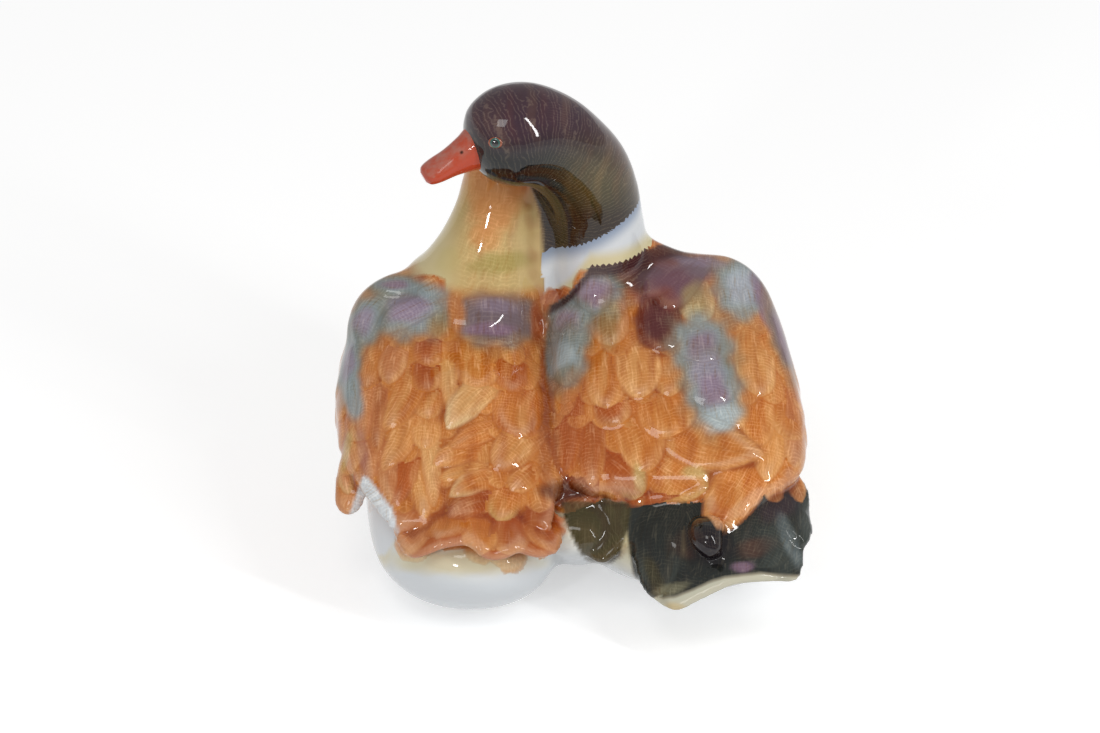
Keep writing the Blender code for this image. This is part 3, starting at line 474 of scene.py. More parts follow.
def even_line(points: tuple, steps: int) -> list[Vector]:
    """A smooth line through points, as steps + 1 points spaced evenly along it.

    Args:
        points: The points that it passes.
        steps: How many even steps it has.

    Returns:
        The points of the line.
    """
    fine = [Vector(row) for row in smooth_through(points, 12)]
    reached = [0.0]
    for before, after in zip(fine, fine[1:]):
        reached.append(reached[-1] + (after - before).length)
    found = []
    for k in range(steps + 1):
        target = reached[-1] * k / steps
        i = min(max(j for j, r in enumerate(reached) if r <= target + 1e-12), len(fine) - 2)
        share = (target - reached[i]) / (reached[i + 1] - reached[i])
        found.append(fine[i].lerp(fine[i + 1], min(share, 1.0)))
    return found


def rounded(value: float, power: float) -> float:
    """A cosine or sine bent towards a square, keeping its sign."""
    return math.copysign(abs(value) ** power, value)


def eased(low: float, high: float, value: Array) -> Array:
    """0 below low, 1 above high and a smooth rise between them."""
    share = np.clip((value - low) / (high - low), 0, 1)
    return share * share * (3 - 2 * share)


@dataclass
class Sculptor:
    """Shapes the masses, the fans and the limbs, and unites them into one skin."""

    made: dict[Part, list[Piece]] = field(default_factory=dict)
    bridge: Piece | None = None

    def keep(self, part: Part, piece: Piece) -> Piece:
        """Files a form under the part that it belongs to."""
        self.made.setdefault(part, []).append(piece)
        return piece

    def skin_rings(self, name: str, rings: list[list[Vector]]) -> Piece:
        """Makes a closed mesh over rings of points.

        Args:
            name: The new object's name.
            rings: Rings of equally many points, in order.

        Returns:
            The object, with each end drawn in to one point.
        """
        mesh = bpy.data.meshes.new(name)
        shape = bmesh.new()
        loops = [[shape.verts.new(point) for point in ring] for ring in rings]
        for lower, upper in zip(loops, loops[1:]):
            count = len(lower)
            for k in range(count):
                n = (k + 1) % count
                shape.faces.new((lower[k], lower[n], upper[n], upper[k]))
        for loop in (loops[0], loops[-1]):
            middle = shape.verts.new(sum((v.co for v in loop), Vector()) / len(loop))
            count = len(loop)
            for k in range(count):
                shape.faces.new((loop[k], loop[(k + 1) % count], middle))
        bmesh.ops.recalc_face_normals(shape, faces=shape.faces)
        shape.to_mesh(mesh)
        shape.free()
        piece = bpy.data.objects.new(name, mesh)
        bpy.context.collection.objects.link(piece)
        return piece

    def loft(self, name: str, mass: Mass) -> Piece:
        """Makes a mass as rings across its length.

        Args:
            name: The new object's name.
            mass: Its sizes and its stations.

        Returns:
            The closed form.
        """
        rings = []
        for along, width, low, high in smooth_through(mass.outline, 6):
            half = max(mass.width / 2 * width, 0.0004)
            bottom = mass.height * low
            top = max(mass.height * high, bottom + 0.0008)
            widest = bottom + (top - bottom) * WIDEST_SHARE
            y = mass.rear[1] + mass.length * along
            ring = []
            for k in range(RING_POINTS):
                angle = 2 * math.pi * k / RING_POINTS
                over = math.sin(angle) > 0
                squareness = BACK_SQUARENESS if over else BELLY_SQUARENESS
                across = rounded(math.cos(angle), squareness) * half
                up = rounded(math.sin(angle), squareness)
                rise = (top - widest) if over else (widest - bottom)
                ring.append(Vector((mass.centre_x(along) + across, y, widest + up * rise)))
            rings.append(ring)
        return self.skin_rings(name, rings)

    def limb(self, name: str, rows: tuple, squareness: float = 1.0) -> Piece:
        """Makes a tapering form along a smooth line.

        Args:
            name: The new object's name.
            rows: A point, a half width and a half height for each place along the line.
            squareness: 1 for an oval section, less for a boxier one.

        Returns:
            The closed form.
        """
        line = smooth_through([(*row[0], row[1], row[2]) for row in rows], 8)
        rings = []
        for i, (x, y, z, half_width, half_height) in enumerate(line):
            ahead = Vector(line[min(i + 1, len(line) - 1)][:3])
            behind = Vector(line[max(i - 1, 0)][:3])
            forward = (ahead - behind).normalized()
            side = forward.cross(Vector((0, 0, 1))).normalized()
            over = side.cross(forward)
            ring = []
            for k in range(RING_POINTS):
                angle = 2 * math.pi * k / RING_POINTS
                wide = side * rounded(math.cos(angle), squareness) * max(half_width, 0.0003)
                high = over * rounded(math.sin(angle), squareness) * max(half_height, 0.0003)
                ring.append(Vector((x, y, z)) + wide + high)
            rings.append(ring)
        return self.skin_rings(name, rings)

    def fan(self, fan: Fan) -> Piece:
        """Makes a fan, raised in its middle by its cup.

        Args:
            fan: The fan's lines and sizes.

        Returns:
            The closed sheet.
        """
        roots = even_line(fan.root_line, FAN_STEPS)
        rims = even_line(fan.rim_line, FAN_STEPS)
        rings = []
        for i, (root, rim) in enumerate(zip(roots, rims)):
            before, after = max(i - 1, 0), min(i + 1, FAN_STEPS)
            across = (roots[after] + rims[after] - roots[before] - rims[before]).normalized()
            reach = (rim - root) / 2
            over = across.cross(reach).normalized()
            ends = math.sin(math.pi * (i + 0.5) / (FAN_STEPS + 1)) ** 0.35
            ring = []
            for k in range(RING_POINTS):
                angle = 2 * math.pi * k / RING_POINTS
                out = rounded(math.cos(angle), 0.55)
                up = rounded(math.sin(angle), 0.7)
                rise = up * fan.thickness / 2 * ends + fan.cup * (1 - out * out)
                ring.append((root + rim) / 2 + reach * out * ends + over * rise)
            rings.append(ring)
        return self.skin_rings(fan.name, rings)

    def applied(self, piece: Piece) -> Piece:
        """Applies every modifier of a piece.

        Args:
            piece: The piece.

        Returns:
            The same piece.
        """
        bpy.ops.object.select_all(action="DESELECT")
        bpy.context.view_layer.objects.active = piece
        piece.select_set(True)
        for modifier in list(piece.modifiers):
            bpy.ops.object.modifier_apply(modifier=modifier.name)
        piece.select_set(False)
        return piece

    def united(
        self, name: str, pieces: list[Piece], voxel: float, smoothing: int
    ) -> Piece:
        """Makes one skin over pieces that overlap.

        Args:
            name: The new object's name.
            pieces: The pieces, which stay as they are.
            voxel: The size of the skin's squares.
            smoothing: How many times the skin is eased.

        Returns:
            The skin.
        """
        shape = bmesh.new()
        for piece in pieces:
            shape.from_mesh(piece.data)
        mesh = bpy.data.meshes.new(name)
        shape.to_mesh(mesh)
        shape.free()
        whole = bpy.data.objects.new(name, mesh)
        bpy.context.collection.objects.link(whole)
        remesh = whole.modifiers.new("one skin", "REMESH")
        remesh.mode = "VOXEL"
        remesh.voxel_size = voxel
        ease = whole.modifiers.new("eased", "SMOOTH")
        ease.factor = 0.5
        ease.iterations = smoothing
        return self.applied(whole)

    def neck_rows(self, duck: str) -> list:
        """Rows of a duck's neck and head: a point, a half width and a half height.

        Args:
            duck: hen or drake.

        Returns:
            The rows, from the neck's foot to the bill.
        """
        flat = NECK_FLATNESS[duck]
        if duck == "hen":
            neck, head = HEN_NECK_LINE, HEN_HEAD_LINE
            neck_radius, head_radius = HEN_NECK_RADIUS, HEN_HEAD_RADIUS
        else:
            neck, head = DRAKE_NECK_LINE, DRAKE_HEAD_LINE
            neck_radius, head_radius = DRAKE_NECK_RADIUS, DRAKE_HEAD_RADIUS
        rows = [(Vector(p), neck_radius * r * flat, neck_radius * r) for p, r in neck]
        rows += [(Vector(p), head_radius * r * flat, head_radius * r) for p, r in head]
        return rows

    def build(self) -> Piece:
        """Builds every form and returns the united skin, before its feathers.

        Returns:
            The skin.
        """
        hen_rows = self.neck_rows("hen")
        drake_rows = self.neck_rows("drake")
        self.bridge = self.limb("bridge_between", BRIDGE_BETWEEN)
        masses = [
            self.keep(Part.HEN_BODY, self.loft("hen_body", HEN)),
            self.keep(Part.HEN_BACK, self.loft("hen_mantle", HEN_MANTLE)),
            self.keep(Part.HEN_BACK, self.limb("hen_shoulder", HEN_SHOULDER_LINE)),
            self.keep(Part.HEN_NECK, self.limb("hen_neck", hen_rows)),
            self.keep(Part.DRAKE_BODY, self.loft("drake_body", DRAKE)),
            self.keep(Part.DRAKE_BACK, self.loft("drake_mantle", DRAKE_MANTLE)),
            self.keep(Part.DRAKE_BACK, self.limb("drake_shoulder", DRAKE_SHOULDER_LINE)),
            self.keep(Part.DRAKE_NECK, self.limb("drake_neck", drake_rows)),
            self.keep(Part.HEN_BODY, self.limb("bridge_below", BRIDGE_BELOW)),
            self.bridge,
        ]
        core = self.united("core", masses, MASS_VOXEL, MASS_SMOOTHING)
        curl_rows = (
            (CURL_MIDDLE + Vector((-0.002, 0.012, 0.001)), CURL_RADIUS * 0.5, CURL_RADIUS * 0.4),
            (CURL_MIDDLE + Vector((-0.001, 0.005, 0.002)), CURL_RADIUS, CURL_RADIUS * 0.8),
            (CURL_MIDDLE + Vector((0.001, -0.003, 0.001)), CURL_RADIUS, CURL_RADIUS),
            (CURL_MIDDLE + Vector((0.004, -0.008, -0.004)), CURL_RADIUS * 0.5, CURL_RADIUS * 0.6),
        )
        details = [core, *(self.keep(fan.part, self.fan(fan)) for fan in TAIL_FANS)]
        details.append(self.keep(Part.DRAKE_CURL, self.limb("drake_curl", curl_rows)))
        details += [self.keep(fan.part, self.fan(fan)) for fan in WING_TIP_FANS]
        skin = self.united("duck_pair_glaze", details, SKIN_VOXEL, SKIN_SMOOTHING)
        bpy.data.objects.remove(core)
        return skin

    def clear(self) -> None:
        """Removes the forms that the skin was made from."""
        for piece in sum(self.made.values(), [self.bridge]):
            bpy.data.objects.remove(piece)


def feathers(*rows: tuple) -> tuple[Feather, ...]:
    """Feathers from rows of root x and y, tip x and y, and the rest of a feather's values."""
    return tuple(Feather(row[:2], row[2:4], *row[4:]) for row in rows)


G = Glaze
HEN_FEATHERS = feathers(
    (446, 288, 378, 291, 24, 2, 1.5, 0),
    (440, 283, 420, 296, 22, 0, 1.9, 0, G.LIGHT_ORANGE),
    (437, 300, 384, 332, 34, 3, 1.4, 0.1),
    (380, 297, 361, 346, 32, 6, 1.2, 0.2),
    (358, 338, 356, 420, 20, 4, 1.2, 0.5),
    (385, 336, 370, 388, 28, 2, 0.9, 0.2, G.ORANGE, G.RUST),
    (374, 375, 368, 440, 18, 3, 1.0, 0.4, G.ROSE_ORANGE, G.DEEP_ORANGE),
    (386, 372, 380, 452, 18, 2, 1.1, 0.4, G.ROSE_ORANGE, G.ORANGE),
    (404, 336, 391, 384, 28, 2, 1.0, 0.3, G.ROSE_ORANGE, G.APRICOT),
    (418, 358, 388, 430, 30, -6, 1.3, 0.5),
    (417, 392, 386, 470, 28, -6, 1.2, 0.5, G.LIGHT_ORANGE, G.ROSE_ORANGE),
    (430, 336, 429, 366, 28, 0, 0.9, 0, G.DEEP_ORANGE),
    (429, 358, 429, 392, 27, 0, 1.0, 0, G.DEEP_ORANGE),
    (430, 384, 430, 418, 28, 0, 1.0, 0, G.ORANGE, G.APRICOT),
    (430, 408, 428, 448, 28, 0, 1.0, 0.1, G.LIGHT_ORANGE, G.APRICOT),
    (447, 340, 450, 408, 16, -2, 0.9, 0.3, G.APRICOT, G.ORANGE),
    (492, 298, 493, 346, 74, 0, 0.7, 0, G.ROSE_ORANGE, G.APRICOT),
    (478, 340, 478, 388, 42, 0, 1.0, 0, G.ORANGE, G.APRICOT),
    (504, 376, 449, 428, 34, 6, 1.6, 0.6, G.APRICOT, G.CREAM),
    (513, 345, 511, 392, 34, 0, 1.0, 0, G.DEEP_ORANGE, G.ORANGE),
    (525, 384, 516, 436, 50, 2, 1.6, 0, G.ORANGE, G.DEEP_ORANGE),
    (510, 425, 452, 446, 22, 3, 1.2, 0.6, G.ORANGE, G.ROSE_ORANGE),
    (541, 425, 497, 468, 38, 3, 1.4, 0.2, G.LIGHT_ORANGE, G.DEEP_ORANGE),
    (492, 446, 436, 462, 26, 3, 1.6, 0.3, G.ORANGE, G.APRICOT),
    (500, 468, 440, 478, 20, 3, 1.0, 0.5, G.LIGHT_ORANGE, G.ORANGE),
    (504, 474, 452, 494, 24, 4, 1.5, 0.5, G.ORANGE, G.CREAM),
    (536, 466, 512, 488, 24, 0, 1.4, 0.1, G.ORANGE, G.APRICOT),
    (500, 496, 450, 514, 28, 4, 1.4, 0.3, G.DEEP_ORANGE, G.RUST),
    (512, 480, 500, 518, 30, 0, 1.1, 0.2, G.ORANGE, G.STRAW),
    (413, 428, 396, 506, 24, -4, 1.2, 0.5, G.DEEP_ORANGE, G.ROSE_ORANGE),
    (412, 450, 428, 517, 24, -3, 1.5, 0.7, G.LIGHT_ORANGE, G.ORANGE),
    (424, 400, 436, 505, 18, -3, 1.2, 0.5, G.APRICOT, G.ROSE_ORANGE),
    (378, 425, 392, 503, 20, -4, 1.2, 0.5, G.ROSE_ORANGE, G.ROSE_ORANGE),
    (366, 425, 374, 480, 16, -2, 1.1, 0.5, G.ROSE_ORANGE, G.ROSE_ORANGE),
    (350, 425, 352, 492, 22, 2, 1.0, 0.4, G.ROSE_ORANGE, G.STRAW),
    (358, 468, 342, 512, 24, 3, 1.5, 0.3, G.ORANGE, G.RUST),
    (425, 508, 406, 555, 46, 2, 1.4, 0.1, G.ROSE_ORANGE, G.APRICOT, 0.35),
    (448, 512, 446, 546, 40, 0, 0.9, 0, G.ORANGE, G.DEEP_ORANGE, 0.35),
    (478, 515, 484, 550, 34, 0, 1.0, 0.2, G.ORANGE, G.APRICOT, 0.35),
    (512, 512, 508, 550, 40, 0, 0.9, 0.1, G.DEEP_ORANGE, G.APRICOT, 0.35),
    (545, 500, 540, 555, 44, 0, 1.3, 0.1, G.DEEP_ORANGE, G.LIGHT_ORANGE, 0.35),
)

DRAKE_FEATHERS = feathers(
    (572, 290, 554, 332, 28, 2, 1.1, 0.1, G.ROSE_ORANGE),
    (592, 272, 590, 312, 40, 0, 1.2, 0, G.ORANGE, G.ROSE_ORANGE),
    (607, 292, 611, 346, 38, 0, 1.2, 0.1, G.ROSE_ORANGE, G.APRICOT),
    (575, 308, 567, 386, 38, 3, 1.5, 0.3, G.ORANGE, G.APRICOT),
    (690, 262, 648, 298, 34, 6, 1.8, 0.1, G.PLUM, G.ROSE_ORANGE, 0.3),
    (700, 262, 662, 310, 40, 4, 1.7, 0, G.PLUM, G.ROSE_ORANGE, 0.3),
    (656, 296, 661, 352, 46, 0, 1.7, 0, G.MAROON, G.RUST),
    (664, 345, 668, 396, 32, 0, 1.2, 0.1, G.ORANGE, G.APRICOT),
    (694, 280, 697, 324, 36, 0, 1.0, 0.1, G.APRICOT, G.CREAM),
    (700, 318, 700, 362, 54, 0, 1.1, 0, G.LIGHT_ORANGE),
    (706, 350, 708, 404, 54, 0, 1.3, 0, G.ROSE_ORANGE, G.ORANGE),
    (712, 385, 722, 436, 54, 0, 1.2, 0.2, G.LIGHT_ORANGE),
    (625, 325, 640, 398, 44, -4, 1.3, 0.1, G.LIGHT_ORANGE, G.APRICOT),
    (604, 338, 606, 408, 40, 0, 1.1, 0.1, G.ORANGE, G.APRICOT),
    (655, 380, 668, 436, 58, -3, 1.4, 0),
    (604, 395, 618, 424, 36, 0, 1.2, 0.1, G.DEEP_ORANGE, G.APRICOT),
    (618, 395, 646, 470, 46, -5, 1.2, 0.1, G.ORANGE, G.APRICOT),
    (645, 404, 760, 455, 58, 13, 2.6, 0.8, G.ORANGE, G.APRICOT),
    (748, 262, 745, 326, 44, 0, 0.9, 0, G.LIGHT_ORANGE, G.APRICOT),
    (752, 318, 757, 396, 42, 2, 1.1, 0, G.LIGHT_ORANGE, G.APRICOT),
    (756, 378, 752, 446, 38, 2, 1.0, 0.2, G.ORANGE, G.APRICOT),
    (775, 290, 790, 372, 30, -4, 1.1, 0.3, G.ORANGE, G.ROSE_ORANGE),
    (781, 350, 797, 432, 24, -3, 1.0, 0.4, G.ROSE_ORANGE, G.ORANGE),
    (790, 395, 789, 466, 26, -3, 1.2, 0.3, G.ROSE_ORANGE, G.APRICOT),
    (775, 396, 762, 480, 34, 2, 1.2, 0.5, G.LIGHT_ORANGE, G.APRICOT),
    (776, 425, 712, 526, 52, 4, 1.9, 0.8, G.ORANGE, G.APRICOT),
    (575, 385, 566, 474, 30, 2, 1.0, 0.2, G.DEEP_ORANGE, G.ORANGE),
    (592, 400, 592, 484, 26, 0, 1.0, 0.2, G.DEEP_ORANGE, G.ORANGE),
    (598, 448, 640, 494, 36, -4, 1.3, 0.1, G.DEEP_ORANGE, G.STRAW),
    (640, 448, 704, 488, 50, 5, 1.4, 0.3, G.ORANGE, G.STRAW),
    (566, 470, 590, 502, 44, 0, 1.2, 0.1, G.RUST, G.DEEP_ORANGE),
    (655, 480, 660, 500, 70, 0, 1.1, 0, G.DEEP_ORANGE, G.RUST),
)

TAIL_FEATHERS = feathers(
    (664, 498, 652, 592, 54, 6, 0.7, 0.2, G.SLATE, G.GREY_GREEN, 0.7),
    (690, 500, 700, 572, 44, 0, 0.5, 0.1, G.SLATE, G.BLACK_GREEN, 0.7),
    (775, 490, 752, 562, 50, -4, 0.6, 0.1, G.SLATE, G.GREY_GREEN, 0.7),
    (790, 500, 792, 575, 34, 0, 0.6, 0.1, G.SLATE, G.GREY_GREEN, 0.7),
    (595, 490, 598, 563, 58, 0, 1.0, 0.1, G.DARK_OLIVE, G.DARK_BROWN, 0.7),
    (790, 470, 812, 548, 40, -4, 1.0, 0.4, G.SLATE, G.GREY_GREEN, 0.7),
)

HEN_BACKS = (Part.HEN_BACK, Part.HEN_TAIL, Part.HEN_WING, Part.HEN_BODY)
DRAKE_BACKS = (Part.DRAKE_BACK, Part.DRAKE_BODY)
DARK_TAIL = (Part.DRAKE_TAIL, Part.DRAKE_CURL, Part.RIGHT_PRIMARY)


def dabs(parts: tuple[Part, ...], *rows: tuple) -> tuple[Dab, ...]:
    """Dabs that lie on some parts, from rows of a dab's values."""
    return tuple(Dab(*row, parts=parts) for row in rows)


def patch(place: tuple, size: tuple, tones: tuple, turn: float = 0.0, strength: float = 0.88) -> tuple:
    """Airbrushed colour in three tones, each laid inside the one before.

    Args:
        place: The patch's middle on the sheet.
        size: Its half width and half height.
        tones: The colours of its fringe, its body and its core.
        turn: How far it is turned, in degrees.
        strength: How much of the ground it hides.

    Returns:
        The rows of its three dabs.
    """
    return tuple(
        (*place, size[0] * grow, size[1] * grow, tone, strength * share, turn)
        for tone, grow, share in zip(tones, (1.22, 0.98, 0.56), (0.85, 1.0, 0.9))
    )


PLAIN_TONES = {
    Part.HEN_BODY: (G.COOL_WHITE, 0.0),
    Part.HEN_BACK: (G.ORANGE, 0.7),
    Part.HEN_NECK: (G.BUTTER, 0.0),
    Part.HEN_TAIL: (G.DEEP_ORANGE, 0.3),
    Part.HEN_WING: (G.ORANGE, 0.6),
    Part.DRAKE_BODY: (G.CREAM, 0.0),
    Part.DRAKE_BACK: (G.ORANGE, 0.7),
    Part.DRAKE_NECK: (G.BLACK_GREEN, 0.9),
    Part.DRAKE_TAIL: (G.SLATE, 0.7),
    Part.DRAKE_CURL: (G.BLACK_PURPLE, 0.2),
    Part.LEFT_PRIMARY: (G.DARK_OLIVE, 0.7),
    Part.RIGHT_PRIMARY: (G.SLATE, 0.7),
}
COOL = (G.OLIVE_GREY, G.BLUE_GREY, G.LILAC)
COOL_MAUVE = (G.OLIVE_GREY, G.BLUE_GREY, G.MAUVE)
PALE = (G.OLIVE_GREY, G.BLUE_GREY, G.PALE_BLUE)
WINE = (G.RUST, G.MAROON, G.DARK_MAROON)
GREYED = (G.OLIVE_TAN, G.GREY_MAUVE, G.MAUVE)
DABS = (
    *dabs(
        (Part.HEN_NECK,),
        (502, 184, 26, 26, G.ORANGE, 0.9), (494, 208, 27, 34, G.LIGHT_ORANGE, 0.9, 6),
        (485, 238, 19, 18, G.LIGHT_ORANGE, 0.7), (502, 264, 38, 13, G.OLIVE_STRAW, 0.75, -8),
        (449, 262, 14, 18, G.STRAW, 0.45, 20), (530, 225, 13, 30, G.STRAW, 0.45),
        (535, 205, 8, 20, G.OLIVE_STRAW, 0.5), (462, 205, 8, 26, G.STRAW, 0.4, 14),
    ),
    *dabs(
        HEN_BACKS,
        *patch((410, 308), (46, 34), COOL, -6),
        *patch((396, 286), (32, 11), COOL_MAUVE, 4),
        (431, 291, 20, 12, G.BLUE_GREY, 0.85), (408, 312, 28, 11, G.LILAC, 0.8, -22),
        *patch((364, 324), (22, 34), COOL, 28),
        *patch((351, 364), (13, 40), COOL, 6),
        (357, 398, 11, 30, G.BLUE_GREY, 0.9, -6), (440, 324, 14, 14, G.OLIVE_TAN, 0.6),
        *patch((497, 319), (48, 31), (G.OLIVE_GREY, G.GREY_MAUVE, G.GREY_MAUVE), 4, 0.9),
        (497, 306, 28, 9, G.LILAC, 0.45, 5), (490, 330, 30, 8, G.MAUVE, 0.85),
        (457, 312, 10, 32, G.ORANGE, 0.7), (537, 322, 8, 24, G.DEEP_ORANGE, 0.7),
    ),
    # Painted shade: a rust line in the groove where the hen's and the drake's backs meet, and a brown dab of
    # painted shade just above the drake's left wing tip.
    *dabs(
        HEN_BACKS + DRAKE_BACKS,
        (545, 420, 8, 110, G.RUST, 0.45), (565, 489, 30, 13, G.BROWN, 0.85),
    ),
    *dabs(
        HEN_BACKS,
        (535, 512, 22, 12, G.RUST, 0.40), (366, 452, 6, 30, G.MAUVE, 0.30, -8),
        (350, 450, 5, 26, G.STRAW, 0.55, 10),
    ),
    *dabs(
        (Part.HEN_BODY,),
        (384, 535, 14, 44, G.CREAM, 0.6, 8), (460, 558, 96, 14, G.CREAM, 0.7),
    ),
    *dabs(
        DRAKE_BACKS,
        (690, 266, 62, 15, G.GREY_MAUVE, 0.92, 3), (700, 263, 34, 6, G.LILAC, 0.5, 6),
        *patch((648, 276), (30, 20), WINE, 0),
        *patch((670, 288), (36, 24), (G.GREY_MAUVE, G.PLUM, G.PLUM), -10),
        *patch((657, 324), (25, 30), (G.RUST, G.MAROON, G.MAROON), 0),
        *patch((588, 296), (38, 30), COOL, 0),
        (592, 294, 26, 18, G.MAUVE, 0.8), (584, 286, 14, 8, G.LILAC, 0.6),
        *patch((568, 324), (26, 34), COOL, 8),
        *patch((564, 358), (25, 34), PALE, 12),
        (568, 376, 15, 12, G.OLIVE_GREY, 0.6), (608, 322, 13, 34, G.OLIVE_TAN, 0.6),
        (694, 302, 16, 22, G.OLIVE_TAN, 0.75), (692, 312, 11, 7, G.CREAM, 0.35),
        *patch((701, 350), (34, 40), COOL_MAUVE, -8),
        *patch((711, 392), (31, 42), COOL_MAUVE, -12),
        (704, 372, 20, 24, G.LILAC, 0.6, -8), (718, 418, 22, 17, G.PALE_BLUE, 0.85, -12),
        *patch((742, 288), (32, 36), COOL, 0),
        (742, 286, 20, 24, G.PALE_BLUE, 0.6), (764, 306, 10, 42, G.MAUVE, 0.85, -18),
        *patch((783, 336), (15, 52), GREYED, -16),
        (575, 430, 18, 60, G.DEEP_ORANGE, 0.4), (615, 478, 18, 16, G.DEEP_ORANGE, 0.6),
        (637, 476, 6, 16, G.STRAW, 0.6, -8), (692, 471, 16, 7, G.STRAW, 0.55),
        (714, 514, 13, 13, G.DEEP_ORANGE, 0.45), (814, 453, 12, 38, G.CREAM, 0.95),
        (814, 453, 12, 38, G.OLIVE_STRAW, 0.3),
    ),
    *dabs(
        DARK_TAIL,
        (685, 540, 24, 16, G.BROWN, 0.38), (752, 544, 24, 12, G.BROWN, 0.38, -12),
        (738, 562, 13, 6, G.MAUVE, 0.75), (708, 541, 26, 24, G.BLACK_PURPLE, 0.97),
        (775, 500, 30, 20, G.AUBERGINE, 0.5, -30), (778, 545, 26, 34, G.GREY_GREEN, 0.55, -20),
        (640, 540, 8, 46, G.GREY_GREEN, 0.6, -4), (652, 572, 8, 30, G.DARK_OLIVE, 0.6, -24),
        (668, 584, 22, 6, G.OLIVE_GREY, 0.7, -16), (785, 538, 9, 32, G.BLUE_GREY, 0.35, -22),
    ),
    *dabs((Part.LEFT_PRIMARY, Part.DRAKE_BODY), (590, 528, 8, 26, G.GREY_GREEN, 0.7, -10)),
    *dabs(DARK_TAIL, (806, 520, 12, 34, G.GREY_GREEN, 0.7)),
    *dabs((Part.DRAKE_TAIL,), (672, 604, 14, 8, G.STRAW, 0.6)),
)
HEN_NECK_BASE = ((-180, 114), (-90, 116), (-30, 110), (0, 100), (90, 98), (150, 106))
COLLAR_FRINGE = (
    (-180, 100), (-150, 104), (-130, 113), (-107, 127), (-20, 127), (0, 126), (60, 112), (120, 104),
)
DARK_TAIL_FIELD = (
    (628, 500),
    (625, 525),
    (628, 545),
    (632, 570),
    (640, 588),
    (652, 598),
    (672, 598),
    (690, 591),
    (705, 584),
    (720, 579),
    (735, 575),
    (755, 574),
    (806, 573),
    (812, 545),
    (816, 500),
    (790, 480),
    (760, 470),
    (640, 480),
)
WING_TIP_FIELD = (
    (560, 500), (566, 520), (575, 540), (585, 556), (598, 563), (610, 560), (618, 552), (621, 540),
    (626, 525), (629, 500),
)
RUMP_FIELD = ((366, 474), (372, 476), (382, 489), (396, 506), (402, 530), (388, 552), (366, 552), (350, 520))
TAIL_RIM_LINE = (
    (600, 556), (640, 582), (660, 592), (672, 591), (690, 584), (705, 577), (720, 572), (755, 568),
    (803, 572), (830, 568),
)


